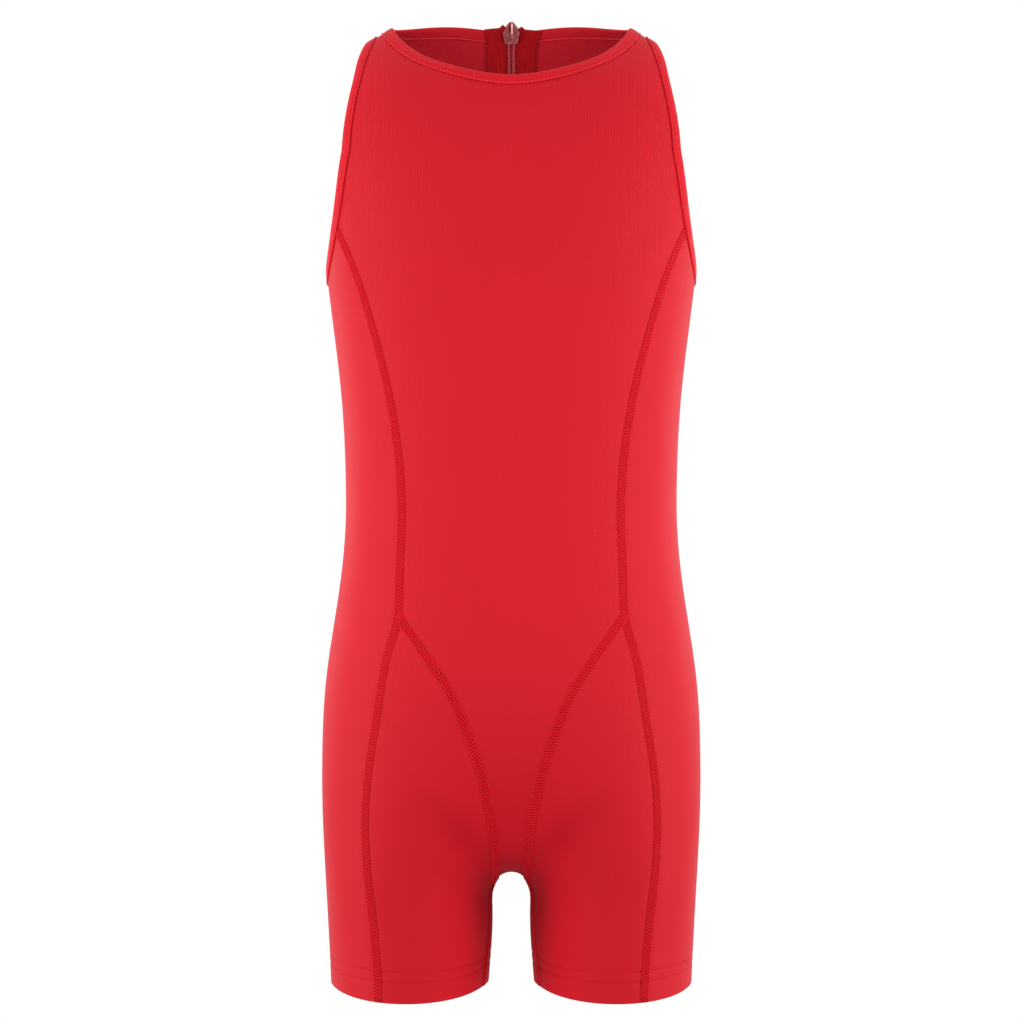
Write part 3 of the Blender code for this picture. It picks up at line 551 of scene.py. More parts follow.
def pull_in(edge, neighbour):
    """Moves a panel's edge towards its own inside, square to the edge."""
    run = tangents(edge)
    inward = neighbour - edge
    inward = inward - (inward * run).sum(-1, keepdims=True) * run
    return edge + unit(inward) * EDGE_GAP


def soft_step(share):
    """Rises from 0 to 1 by 3 s squared less 2 s cubed, level at both ends."""
    share = np.clip(share, 0, 1)
    return share * share * (3 - 2 * share)


CREASE_FADE = 14.0
CREASE_TAPER = 0.45


def relief(p):
    """How far the cloth lies above the form: each crease is a trough whose depth falls off
    as a bell curve with the distance from the crease's line, and towards the body's sides."""
    height = np.zeros(p.shape[:-1])
    flat = p[..., [0, 2]]
    for face, x0, z0, x1, z1, half, depth in CREASES:
        start, end = np.array([x0, z0]), np.array([x1, z1])
        line = end - start
        share = np.clip(((flat - start) @ line) / (line @ line), 0, 1)
        gap = np.linalg.norm(flat - start - share[..., None] * line, axis=-1)
        fades = 1 - CREASE_TAPER * np.abs(2 * share - 1)
        turned = -p[..., 1] if face == "front" else p[..., 1]
        bell = fades * np.exp(-((gap / half) ** 2))
        height -= soft_step(turned / CREASE_FADE) * depth * bell
    return height


def wall_depth(z):
    """The hem is turned up once, so the cloth is double there, over a soft step."""
    share = np.clip((HEM_Z + HEM_DEPTH - z) / 1.0, 0, 1)
    return WALL + (HEM_WALL - WALL) * share


HEM_ROWS = (13.0, 19.5)
HEM_GROOVE = 0.5
HEM_GROOVE_WIDTH = 0.8
HEM_STITCH_LIFT = 0.14


def hem_groove(z):
    """The two rows of hem stitches draw the cloth in by a fraction of a millimetre."""
    drop = 0
    for height in HEM_ROWS:
        drop = drop + HEM_GROOVE * np.exp(-(((z - HEM_Z - height) / HEM_GROOVE_WIDTH) ** 2))
    return drop


HEM_CURVE_TOP = -545.0
HEM_RISE = 4.0
HEM_DROP = 1.1


def hem_curve(p):
    """How far the lower leg's cloth is drawn up: the hem rises at the two sides of each leg
    and drops at its front and back, by the square of the turn's sine and cosine."""
    x, y, z = p[..., 0], p[..., 1], p[..., 2]
    turn = np.arctan2(np.abs(y), np.abs(np.abs(x) - centre_of(z)))
    fade = soft_step((HEM_CURVE_TOP - z) / (HEM_CURVE_TOP - HEM_Z))
    return fade * (HEM_RISE * np.cos(turn) ** 2 - HEM_DROP * np.sin(turn) ** 2)


# Edges that turn by more than these angles, in radians, are drawn sharp.
SOFT_EDGE = 0.9
CAST_EDGE = 0.7
NEVER_SHARP = 3.0


def new_object(name, points, faces, material, uv=None, sharp=SOFT_EDGE):
    """Makes a mesh object from points in millimetres. Each corner takes its vertex's UV."""
    mesh = bpy.data.meshes.new(name)
    faces = faces.tolist() if isinstance(faces, np.ndarray) else faces
    points = np.array(points, float)
    points[:, 2] += hem_curve(points)
    mesh.from_pydata((points * MM).tolist(), [], faces)
    mesh.materials.append(material)
    if uv is not None:
        corner = np.empty(len(mesh.loops), np.int32)
        mesh.loops.foreach_get("vertex_index", corner)
        layer = mesh.uv_layers.new(name="cloth")
        layer.data.foreach_set("uv", (uv[corner] * MM).ravel())
    mesh.shade_smooth()
    mesh.set_sharp_from_angle(angle=sharp)
    thing = bpy.data.objects.new(name, mesh)
    bpy.context.scene.collection.objects.link(thing)
    return thing


def set_marks(thing, name, values):
    """Keeps a value from 0 to 1 at every point for the material to read."""
    marks = thing.data.attributes.new(name, "FLOAT", "POINT")
    marks.data.foreach_set("value", values.astype(np.float32))


# Troughs this deep, in millimetres, take the full painted shade.
CREASE_SHADE_DEPTH = 6.0


def mark_wall(thing, points):
    """Marks a wall's inner face, the second half of its points, to be painted darker as shade
    inside the suit and as the knit's duller wrong side, and marks painted shade in its
    troughs, darker the deeper they are."""
    set_marks(thing, "reverse", np.arange(len(points)) >= len(points) // 2)
    # Painted shade in the troughs, darker the deeper they are.
    set_marks(thing, "slack", np.clip(-relief(points) / CREASE_SHADE_DEPTH, 0, 1))


def grid_faces(rows, columns):
    """Quads of a grid of points that is numbered row by row."""
    i, j = np.meshgrid(np.arange(rows - 1), np.arange(columns - 1), indexing="ij")
    a = (i * columns + j).ravel()
    return np.stack([a, a + 1, a + columns + 1, a + columns], axis=1)


def turned_over(faces):
    return faces[:, [0, 3, 2, 1]]


def tube_faces(stations, corners, closed):
    """Quads round a run of cross sections, with end faces where the run is open."""
    runs = stations if closed else stations - 1
    i, j = np.divmod(np.arange(runs * corners), corners)
    after, beside = (i + 1) % stations, (j + 1) % corners
    quads = np.stack([i, i, after, after], axis=1) * corners
    quads += np.stack([j, beside, beside, j], axis=1)
    faces = quads.tolist()
    if not closed:
        faces.append(list(range(corners))[::-1])
        faces.append([(stations - 1) * corners + c for c in range(corners)])
    return faces


def cloth_wall(points, faces, edge):
    """The outer sheet of a panel on the form with its creases, an inner copy, and a strip
    round every open edge. The edge marks, from 0 to 1, draw the sheet in at its seams."""
    out = outward(points)
    z = points[:, 2]
    height = relief(points) - hem_groove(z) - EDGE_DIP * edge
    outer = points + out * height[:, None]
    inner = points + out * (relief(points) - wall_depth(z))[:, None]
    count = len(points)
    sides = np.concatenate([faces[:, [i, (i + 1) % 4]] for i in range(4)])
    ordered = np.sort(sides, axis=1)
    found = np.unique(ordered, axis=0, return_inverse=True, return_counts=True)
    index, uses = found[1:]
    rim = sides[uses[index.reshape(-1)] == 1]
    strip = np.stack([rim[:, 1], rim[:, 0], rim[:, 0] + count, rim[:, 1] + count], axis=1)
    return np.concatenate([outer, inner]), np.concatenate([faces, faces[:, ::-1] + count, strip])


def cloth_uv(grid, start):
    """Distance round the body from the middle line, and height, so that the knit's ribs
    run upright over every panel."""
    step = np.linalg.norm(np.diff(grid[..., :2], axis=1), axis=-1)
    run = np.concatenate([np.zeros((len(grid), 1)), np.cumsum(step, axis=1)], axis=1)
    return np.stack([start[:, None] + run, grid[..., 2]], axis=-1).reshape(-1, 2)


def edge_marks(grid):
    """1 at the sewn edges of a grid, its two sides and its top, and 0 elsewhere."""
    marks = np.zeros(grid.shape[:2])
    marks[:, [0, -1]] = 1
    marks[0] = 1
    return marks.ravel()


def flat_size(grid):
    """Width, length and area of a panel's cut, measured over its surface in metres."""
    across = np.linalg.norm(np.diff(grid, axis=1), axis=-1).sum(axis=1).max()
    down = np.linalg.norm(np.diff(grid, axis=0), axis=-1).sum(axis=0).max()
    a = grid[1:, 1:] - grid[:-1, :-1]
    b = grid[1:, :-1] - grid[:-1, 1:]
    area = np.linalg.norm(np.cross(a, b), axis=-1).sum() / 2
    return across * MM, down * MM, area * MM * MM


CUT_STRETCH = 1.05


def declare_cloth(thing, node, size, copies=1):
    """Attaches a piece of cloth to the garment and hides the node that it stands for. It
    works out the cut, which is smaller than what shows because worn knit is stretched, but
    the cut is not used further."""
    width, length, area = size
    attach(thing, "garment")
    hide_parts(node)
    width, length = width * copies / CUT_STRETCH, length / CUT_STRETCH
    area = min(area * copies / CUT_STRETCH**2, width * length)


def set_inputs(node, inputs):
    """Sets each named input of a node to a plain value, or links it from a pair: another
    node and the name of its output."""
    for name, value in inputs.items():
        if isinstance(value, tuple) and isinstance(value[0], bpy.types.Node):
            node.id_data.links.new(value[0].outputs[value[1]], node.inputs[name])
        else:
            node.inputs[name].default_value = value


def add_node(shader, kind, inputs=None, **settings):
    """Adds a node to a shader's tree, sets its properties, and sets or links its inputs."""
    node = shader.id_data.nodes.new("ShaderNode" + kind)
    for name, value in settings.items():
        setattr(node, name, value)
    set_inputs(node, inputs or {})
    return node


def new_material(name, **surface):
    """A material with one Principled shader whose plain values are set on its sockets."""
    finish = bpy.data.materials.new(name)
    finish.use_nodes = True
    shader = finish.node_tree.nodes["Principled BSDF"]
    set_inputs(shader, {socket.replace("_", " "): value for socket, value in surface.items()})
    return finish, shader


# The clouds' darkest share of the red, and the size of a cloud.
CLOUD_SHADE = 0.93
CLOUD_SIZE = 70 * MM
# The inner face is painted darker, as shade inside the suit and as the knit's duller wrong side,
# and the troughs are painted a deeper red as shade.
KNIT_TINTS = {"reverse": (0.8, 1, 1, 1), "slack": (0.87, 0.78, 0.78, 1)}
KNIT_ROUGHNESS = 0.56
CHEST_RIBS = 0.45
# The chest's ribs come up between these heights and depths, and the inner legs turn matt
# between these distances from the middle and heights, all in metres.
CHEST_Z, CHEST_Y = (-0.19, -0.05), (-0.02, -0.05)
INNER_LEG_X, INNER_LEG_Z = (0.03, 0.06), (-0.5, -0.44)
# Painted shade in the grooves between the chest's ribs.
RIB_SHADE_TINT = (0.78, 0.6, 0.6, 1)

# Blender's wave texture makes 10 / pi bands a unit at a scale of one.
WAVE_BANDS = math.pi / 10


def knit_material(name, colour, rib_mm, rib_strength):
    """Polyamide and elastane warp knit, matt, with its wales upright. Real wales lie about
    0.6 mm apart, too fine to show, so they are drawn wider, as faint upright ribs that
    wander. They show most over the upper chest, where the cloth is stretched the most, and
    the grooves between them are painted a deeper red as shade. Broad clouds vary the red
    by a few percent. The inner face is painted darker, as shade inside the suit and as the
    knit's duller wrong side, the troughs of the creases are painted a deeper red as shade,
    and the inner legs take no pale rim of light where they turn under."""
    finish, shader = new_material(
        name,
        Specular_IOR_Level=0.08,
        Sheen_Weight=0.05,
        Sheen_Roughness=0.45,
        Sheen_Tint=(1, 0.5, 0.62, 1),
    )
    add = functools.partial(add_node, shader)
    uv = add("UVMap", uv_map="cloth")
    place = add("TexCoord")
    here = (place, "Object")
    axes = add("SeparateXYZ", {"Vector": here})

    wave = {"Vector": (uv, "UV"), "Scale": WAVE_BANDS / (rib_mm * MM)}
    wave |= {"Distortion": 2.4, "Detail": 1, "Detail Scale": 0.2}
    ribs = add("TexWave", wave, bands_direction="X")
    rise = {"Value": (axes, "Z"), "From Min": CHEST_Z[0], "From Max": CHEST_Z[1]}
    high = add("MapRange", rise)
    front = {"Value": (axes, "Y"), "From Min": CHEST_Y[0], "From Max": CHEST_Y[1]}
    chest = add("MapRange", front | {"To Max": (high, "Result")})
    span = {"To Min": rib_strength, "To Max": CHEST_RIBS}
    strength = add("MapRange", {"Value": (chest, "Result")} | span)
    # The grooves between the ribs are painted darker, as shade.
    rib_shade = add("Math", {0: (ribs, "Fac"), 1: (strength, "Result")}, operation="MULTIPLY")

    clouds = add("TexNoise", {"Vector": here, "Scale": 1 / CLOUD_SIZE, "Detail": 3})
    dark = [c * CLOUD_SHADE for c in colour]
    shades = {"Factor": (clouds, "Fac"), "A": (*dark, 1), "B": (*colour, 1)}
    tone = add("Mix", shades, data_type="RGBA")
    factors = [(add("Attribute", attribute_name=mark), "Fac") for mark in KNIT_TINTS]
    tints = [*KNIT_TINTS.values(), RIB_SHADE_TINT]
    for factor, tint in zip(factors + [(rib_shade, "Value")], tints):
        shades = {"Factor": factor, "A": (tone, "Result"), "B": tint}
        tone = add("Mix", shades, data_type="RGBA", blend_type="MULTIPLY")

    beside = add("Math", {0: (axes, "X")}, operation="ABSOLUTE")
    apart = {"From Min": INNER_LEG_X[0], "From Max": INNER_LEG_X[1]}
    away = add("MapRange", {"Value": (beside, "Value")} | apart)
    rise = {"Value": (axes, "Z"), "From Min": INNER_LEG_Z[0], "From Max": INNER_LEG_Z[1]}
    above = add("MapRange", rise | {"To Min": (away, "Result")})
    span = {"To Min": 1, "To Max": KNIT_ROUGHNESS}
    matt = add("MapRange", {"Value": (above, "Result")} | span)

    grain = add("TexNoise", {"Vector": here, "Scale": 1 / (1.1 * MM), "Detail": 2})
    low = {"Height": (grain, "Fac"), "Strength": 0.12, "Distance": 0.3 * MM}
    under = {"Distance": 0.25 * MM, "Normal": (add("Bump", low), "Normal")}
    wales = {"Height": (ribs, "Fac"), "Strength": (strength, "Result")}
    bump = add("Bump", wales | under)
    looks = {"Base Color": (tone, "Result"), "Roughness": (matt, "Result")}
    set_inputs(shader, looks | {"Normal": (bump, "Normal")})
    return finish


def thread_material(name, colour):
    """Textured polyester sewing thread, spun and soft, a little shinier than the knit."""
    surface = {"Base_Color": (*colour, 1), "Roughness": 0.6, "Specular_IOR_Level": 0.07}
    finish, shader = new_material(name, **surface)
    add = functools.partial(add_node, shader)
    place = add("TexCoord")
    fuzz = add("TexNoise", {"Vector": (place, "Object"), "Scale": 1 / (0.4 * MM), "Detail": 1})
    bump = add("Bump", {"Height": (fuzz, "Fac"), "Strength": 0.3, "Distance": 0.1 * MM})
    set_inputs(shader, {"Normal": (bump, "Normal")})
    return finish


def nylon_material(name, colour):
    """Drawn nylon monofilament: smooth, slightly clear, with a satin shine."""
    surface = {"Base_Color": (*colour, 1), "Specular_IOR_Level": 0.45, "IOR": 1.53}
    finish, shader = new_material(name, **surface)
    add = functools.partial(add_node, shader)
    place = add("TexCoord")
    speck = add("TexNoise", {"Vector": (place, "Object"), "Scale": 1 / (2 * MM)})
    rough = add("MapRange", {"Value": (speck, "Fac"), "To Min": 0.28, "To Max": 0.46})
    set_inputs(shader, {"Roughness": (rough, "Result")})
    return finish


def enamel_material(name, colour):
    """Die cast zinc under baked enamel: an even satin coat, thinner and brighter where
    fingers and the chain have worn its edges."""
    finish, shader = new_material(name, Roughness=0.38, Specular_IOR_Level=0.5)
    add = functools.partial(add_node, shader)
    place, edge = add("TexCoord"), add("NewGeometry")
    wear = add("TexNoise", {"Vector": (place, "Object"), "Scale": 1 / (1.8 * MM), "Detail": 4})
    rub = add("Math", {0: (edge, "Pointiness"), 1: (wear, "Fac")}, operation="MULTIPLY")
    share = add("MapRange", {"Value": (rub, "Value"), "From Min": 0.26, "From Max": 0.36})
    worn = [min(1.0, c * 1.5 + 0.05) for c in colour]
    shades = {"Factor": (share, "Result"), "A": (*colour, 1), "B": (*worn, 1)}
    tone = add("Mix", shades, data_type="RGBA")
    bump = add("Bump", {"Height": (wear, "Fac"), "Strength": 0.08, "Distance": 0.1 * MM})
    set_inputs(shader, {"Base Color": (tone, "Result"), "Normal": (bump, "Normal")})
    return finish


FINISHES = {  # maker, the material's name, settings and colour, further values
    "knit": (knit_material, "warp_knit", "cloth", "colour", 1.7, 0.1),
    "binding": (knit_material, "folded_binding_knit", "cloth", "binding_colour", 1.4, 0.1),
    "thread": (thread_material, "polyester_thread", "sewing", "thread_colour"),
    # The binding's stitches are real, and their paler red is a painted highlight along the
    # binding's ridge.
    "top_thread": (thread_material, "bright_thread", "sewing", "top_colour"),
    "cord": (thread_material, "coil_cord", "zip", "cord_colour"),
    # The seam's bed is painted a deeper red, as shade between the threads.
    "seam_bed": (thread_material, "thread_bed", "sewing", "bed_colour"),
    "tape": (thread_material, "woven_tape", "zip", "tape_colour"),
    "coil": (nylon_material, "nylon_coil", "zip", "coil_colour"),
    "zinc": (enamel_material, "painted_zinc", "zip", "slider_colour"),
    # The post's pale red is a painted highlight.
    "rubbed": (enamel_material, "rubbed_zinc", "zip", "rubbed_colour"),
}


@functools.lru_cache(maxsize=None)
def material(name):
    """The finish of each slot, made once."""
    maker, label, group, setting, *values = FINISHES[name]
    colour = getattr(getattr(bpy.context.scene, "bodysuit_" + group), setting)
    return maker(label, tuple(colour), *values)


def colour_setting(name, description, hex_colour):
    """A colour that a user would change."""
    return bpy.props.FloatVectorProperty(
        name=name, description=description, subtype="COLOR", default=linear(hex_colour)
    )


def size_setting(name, description, metres):
    """A length that a user would change."""
    return bpy.props.FloatProperty(
        name=name, description=description, unit="LENGTH", default=metres
    )


def power_setting(name, description, watts):
    """A light's power that a user would change."""
    return bpy.props.FloatProperty(name=name, description=description, default=watts)


class ClothSettings(bpy.types.PropertyGroup):
    """Colours of the cloth."""

    colour: colour_setting("Knit", "Red of the panels", "#B4131F")
    binding_colour: colour_setting("Binding", "Red of the bindings", "#BC121F")


class SewingSettings(bpy.types.PropertyGroup):
    """Sizes and colours of the sewing."""

    thread: size_setting("Thread", "Thickness of the thread", 0.00036)
    seam_width: size_setting("Seam width", "Width of a flat seam", 0.0051)
    pitch: size_setting("Pitch", "Length of a flat seam's stitch", 0.002)
    hem_pitch: size_setting("Hem pitch", "Length of a hem stitch", 0.0026)
    thread_colour: colour_setting("Thread colour", "Red of the thread", "#CB1521")
    # Painted shade: the bed is darker, as the shade between the threads.
    bed_colour: colour_setting("Bed colour", "Red under the seam's threads", "#A00611")
    # A painted highlight: the binding stitches' paler red stands for light on the ridge.
    top_colour: colour_setting("Top colour", "Brighter red on the bindings", "#E03A47")


class ZipSettings(bpy.types.PropertyGroup):
    """Sizes and colours of the zip."""

    coil_pitch: size_setting("Coil pitch", "Distance between a coil's turns", 0.0013)
    wire: size_setting("Filament", "Thickness of the coil's filament", 0.0006)
    tape_colour: colour_setting("Tape", "Red of the tapes", "#8C060B")
    coil_colour: colour_setting("Coil", "Red of the coils", "#962B31")
    slider_colour: colour_setting("Slider", "Dull red of the slider", "#7E363C")
    cord_colour: colour_setting("Cord", "Red of the cords sewn over the coils", "#AA3B42")
    # A painted highlight on the slider's post.
    rubbed_colour: colour_setting("Rubbed", "Paler red of the rubbed post", "#CE918F")


class StageSettings(bpy.types.PropertyGroup):
    """The camera and the lights."""

    distance: size_setting("Camera distance", "From the camera to the shoulder line", 1.9)
    across: size_setting("View width", "Width seen at the shoulder line", 0.6656)
    side_power: power_setting("Side lights", "Power of each side softbox in watts", 10.3)
    front_power: power_setting("Front lights", "Power of each front softbox in watts", 0.088)
    back_power: power_setting("Back lights", "Power of each back softbox in watts", 0.09)


def edges_drawn_in(grid, inner, start=0):
    """The cut, the UVs and the edge marks of a panel's grid whose inner seam is given. Its
    two side edges are then drawn in by the seam's gap, the inner one from a row on."""
    found = flat_size(grid), cloth_uv(grid, -inner[:, 0]), edge_marks(grid)
    first, last = grid[:, 1].copy(), grid[:, -2].copy()
    grid[start:, 0] = pull_in(grid[start:, 0], first[start:])
    grid[:, -1] = pull_in(grid[:, -1], last)
    return found


def add_cloth(node, points, faces, size, uv, marks, copies=1):
    """One knit wall with its marks, attached to the garment in place of its node."""
    vertices, quads = cloth_wall(points, faces, marks)
    both = np.concatenate([uv, uv])
    thing = new_object(f"{node}_cloth", vertices, quads, material("knit"), both)
    mark_wall(thing, vertices)
    declare_cloth(thing, node, size, copies)


def add_panel_pair(name, grid, size, uv, marks):
    """A panel for each side of the body from the right half's grid."""
    right = grid.reshape(-1, 3)
    faces = grid_faces(*grid.shape[:2])
    for side, flip in SIDES:
        points = mirrored(right) if flip else right
        wound = turned_over(faces) if flip else faces
        add_cloth(f"{name}_{side}", points, wound, size, uv, marks)


class BODYSUIT_OT_front(bpy.types.Operator):
    """Makes the front panel and the two front legs"""

    bl_idname = "bodysuit.front"
    bl_label = "Front"

    def execute(self, context):
        seams = make_seams()
        inner = np.concatenate([seams["neck_front"][::-1], seams["middle_front"][1:]])
        outer = [seams["armhole_front"], seams["side_front"][1:], seams["leg"][1:]]
        grid = between(inner, np.concatenate(outer), FRONT_COLUMNS)
        rows, columns = grid.shape[:2]
        uv = cloth_uv(grid, -inner[:, 0])
        size = flat_size(grid)
        marks = edge_marks(grid).reshape(rows, columns)
        marks[NECK_FRONT_STEPS + 1 :, 0] = 0
        marks[-1] = 1
        grid[:, -1] = pull_in(grid[:, -1], grid[:, -2])
        grid[0] = pull_in(grid[0], grid[1])
        grid[-1] = pull_in(grid[-1], grid[-2])
        shared = np.arange(rows) >= NECK_FRONT_STEPS
        grid[shared, 0, 0] = 0
        points, faces, used = self.both_halves(grid, shared)
        uv = np.concatenate([uv, uv * [-1, 1]])[used]
        marks = np.tile(marks.ravel(), 2)[used]
        add_cloth("front_panel", points, faces, size, uv, marks, copies=2)
        self.legs(seams)
        return {"FINISHED"}

    def both_halves(self, grid, shared):
        """Points and faces of the half grid and its mirror image, which share the middle
        line's points in some rows, and the numbers of the points that are kept."""
        rows, columns = grid.shape[:2]
        right = grid.reshape(-1, 3)
        numbers = np.arange(rows * columns).reshape(rows, columns)
        left_numbers = numbers + rows * columns
        left_numbers[shared, 0] = numbers[shared, 0]
        points = np.concatenate([right, mirrored(right)])
        faces = grid_faces(rows, columns)
        faces = np.concatenate([faces, turned_over(left_numbers.ravel()[faces])])
        used = np.unique(faces)
        renumber = np.zeros(len(points), int)
        renumber[used] = np.arange(len(used))
        return points[used], renumber[faces], used

    def legs(self, seams):
        """A wedge whose blunt point starts just below the junction."""
        inner = np.concatenate([seams["leg"], seams["inseam"][1:]])
        outer = seams["outer_leg"]
        grid = between(inner, outer, LEG_COLUMNS)
        ends = [seam[0] * (1 - POINT_START) + seam[1] * POINT_START for seam in (inner, outer)]
        share = np.linspace(0, 1, LEG_COLUMNS + 1)[:, None]
        grid[0] = ends[0] * (1 - share) + ends[1] * share
        add_panel_pair("front_leg", grid, *edges_drawn_in(grid, inner))


class BODYSUIT_OT_side(bpy.types.Operator):
    """Makes the two side panels"""

    bl_idname = "bodysuit.side"
    bl_label = "Side panels"

    def execute(self, context):
        seams = make_seams()
        inner = np.concatenate([seams["side_front"], seams["outer_leg"][1:]])
        top = seams["armhole_under"]
        grid = between(inner, seams["side_back"], ARMHOLE_UNDER_STEPS, behind=True, top=top)
        add_panel_pair("side_panel", grid, *edges_drawn_in(grid, inner))
        return {"FINISHED"}


class BODYSUIT_OT_back(bpy.types.Operator):
    """Makes the two back panels"""

    bl_idname = "bodysuit.back"
    bl_label = "Back panels"

    def execute(self, context):
        seams = make_seams()
        inner = [seams["neck_back"], seams["middle_back"][1:], seams["cross"][1:]]
        inner = np.concatenate(inner + [seams["inseam"][1:]])
        outer = np.concatenate([seams["armhole_back"][::-1], seams["side_back"][1:]])
        grid = between(inner, outer, BACK_COLUMNS, behind=True)
        size, uv, marks = edges_drawn_in(grid, inner, start=NECK_BACK_STEPS)
        uv = uv.reshape(*grid.shape[:2], 2)[:, ::-1].reshape(-1, 2)
        marks = marks.reshape(grid.shape[:2])[:, ::-1].ravel()
        add_panel_pair("back_panel", grid[:, ::-1], size, uv, marks)
        return {"FINISHED"}


STITCH_REACH = 0.95
STITCH_HEIGHT = 0.84
STITCH_RISE = 0.15
BINDING_CUT = 18.5
# Below this height the profile runs over the inside of the cloth.
BINDING_INSIDE = -0.9


class BODYSUIT_OT_bindings(bpy.types.Operator):
    """Makes the folded bindings of the neck and the armholes, with their stitches"""

    bl_idname = "bodysuit.bindings"
    bl_label = "Bindings"

    def execute(self, context):
        seams = make_seams()
        half = np.concatenate([seams["neck_front"], seams["neck_back"][1:]])
        neck = np.concatenate([mirrored(half[:0:-1]), half])
        self.add("neck_binding", neck, False, False)
        names = ("armhole_front", "armhole_under", "armhole_back")
        loop = np.concatenate([seams[name][:-1] for name in names])
        for side, flip in SIDES:
            self.add(f"armhole_binding_{side}", loop, True, flip)
        return {"FINISHED"}

    def add(self, node, sewn, closed, flip):
        """Carries the folded profile along the seam, and lays the stitches on its ridge."""
        wrapped = np.concatenate([sewn[-3:], sewn, sewn[:3]]) if closed else sewn
        reaches = sorted({reach for reach, _ in BINDING_PROFILE} | {STITCH_REACH})
        rails = {reach: offset(wrapped, -1, reach) for reach in reaches}
        rings = np.stack(
            [rails[reach] + outward(rails[reach]) * height for reach, height in BINDING_PROFILE],
            axis=1,
        )
        rings = rings[3:-3] if closed else rings
        if not closed:
            rings[0, :, 0], rings[-1, :, 0] = ZIP_CHANNEL, -ZIP_CHANNEL
        rings = mirrored(rings) if flip else rings
        stations, corners = rings.shape[:2]
        round_run = arc_run(np.array(BINDING_PROFILE))
        length = arc_run(sewn)[-1]
        run = np.linspace(0, length, stations)
        uv = np.stack(np.meshgrid(run, round_run, indexing="ij"), axis=-1).reshape(-1, 2)
        faces = tube_faces(stations, corners, closed)
        faces = faces if flip else [face[::-1] for face in faces]
        thing = new_object(f"{node}_cloth", rings.reshape(-1, 3), faces, material("binding"), uv)
        # The binding's inside face is painted darker, as shade inside the suit and as the knit's
        # duller wrong side.
        inside = np.array(BINDING_PROFILE)[:, 1] < BINDING_INSIDE
        set_marks(thing, "reverse", np.tile(inside, stations))
        size = np.array([BINDING_CUT, length, BINDING_CUT * length * MM]) * MM
        declare_cloth(thing, node, size)
        sewing = context_sewing()
        # The stitches are real; their paler thread is a painted highlight along the binding's
        # ridge.
        for face, sign in (("outer", 1), ("inner", -1)):
            rail = rails[STITCH_REACH][3:-3] if closed else rails[STITCH_REACH]
            rail = mirrored(rail) if flip else rail
            height = STITCH_HEIGHT if sign > 0 else -WALL - STITCH_HEIGHT - 0.1
            lines = dashes(rail, in_mm(sewing.hem_pitch), 0.0, height, sign, STITCH_RISE)
            stitches = strands(lines, in_mm(sewing.thread) / 2, 4)
            add_thread(f"{node}_{face}_stitches", *stitches, "top_thread")


def context_sewing():
    return bpy.context.scene.bodysuit_sewing


def add_thread(name, points, faces, finish="thread", slot="red_knit"):
    thing = new_object(name, points, faces, material(finish), sharp=NEVER_SHARP)
    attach(thing, "garment")
    return thing


def lay(curve, distance, sideways, height):
    """Points on a seam: so far along it, so far to its side over the form, and so high."""
    base = at_distance(curve, distance)
    ahead = at_distance(curve, np.minimum(distance + 0.5, arc_run(curve)[-1]))
    behind = at_distance(curve, np.maximum(distance - 0.5, 0))
    side = unit(np.cross(outward(base), ahead - behind))
    p = onto_form(base + side * np.asarray(sideways)[..., None], 4)
    return p + outward(p) * (relief(p) + height)[..., None]


def strands(lines, radius, sides):
    """Round threads along many lines of equal count: at each point a ring of corners lies
    square to the line, and each end is closed."""
    lines = np.asarray(lines)
    ahead = unit(np.gradient(lines, axis=1))
    across = unit(np.cross(ahead, outward(lines)))
    up = np.cross(across, ahead)
    turn = np.arange(sides) * 2 * np.pi / sides
    ring = np.cos(turn)[:, None] * across[:, :, None] + np.sin(turn)[:, None] * up[:, :, None]
    points = lines[:, :, None] + radius * ring
    one = tube_faces(lines.shape[1], sides, closed=False)
    quads = np.array(one[:-2])
    ends = np.array(one[-2:])
    shift = (np.arange(len(lines)) * lines.shape[1] * sides)[:, None, None]
    faces = (quads + shift).reshape(-1, 4).tolist() + (ends + shift).reshape(-1, sides).tolist()
    return points.reshape(-1, 3), faces


# A stitch's four points: shares of its pitch from its middle, and of its rise.
STITCH_REACHES = np.array([-0.4, -0.22, 0.22, 0.4])
STITCH_LIFTS = np.array([-0.35, 0, 0, -0.35]) / 0.22


def dashes(curve, pitch, sideways, height, sign=1, rise=0.22):
    """Stitches in a row: each starts in the cloth, rises over it and dips in again."""
    length = arc_run(curve)[-1]
    count = int(length / pitch)
    start = (np.arange(count) + 0.5) * (length / count)
    distance = start[:, None] + STITCH_REACHES * pitch
    shape = distance.shape
    high = height + sign * np.broadcast_to(STITCH_LIFTS * rise, shape)
    side = np.full(shape, float(sideways))
    return lay(curve, distance.ravel(), side.ravel(), high.ravel()).reshape(*shape, 3)


BED_PROFILE = (  # share of the seam's half width, height over the cloth
    (-1, -0.5), (-1, -0.02), (-0.8, 0.1), (0, 0.16), (0.8, 0.1), (1, -0.02), (1, -0.5),
)
BED_STEP = 2.0
# Cover threads are spun soft and lie flat, so they look thicker than the needle threads.
COVER_THICKNESS = 0.7
COVER_RISE = -0.85
COVER_SPAN = (0.06, 1.02)
COVER_HEIGHT = 0.3
COVER_POINTS = 6
NEEDLE_ROWS = (-0.98, 0.0, 0.98)
NEEDLE_HEIGHT = 0.34
NEEDLE_RISE = 0.25
# The leg seam's upper end lies under the side seam.
TUCK = np.array([[-1.6, 0.0, 2.6]])


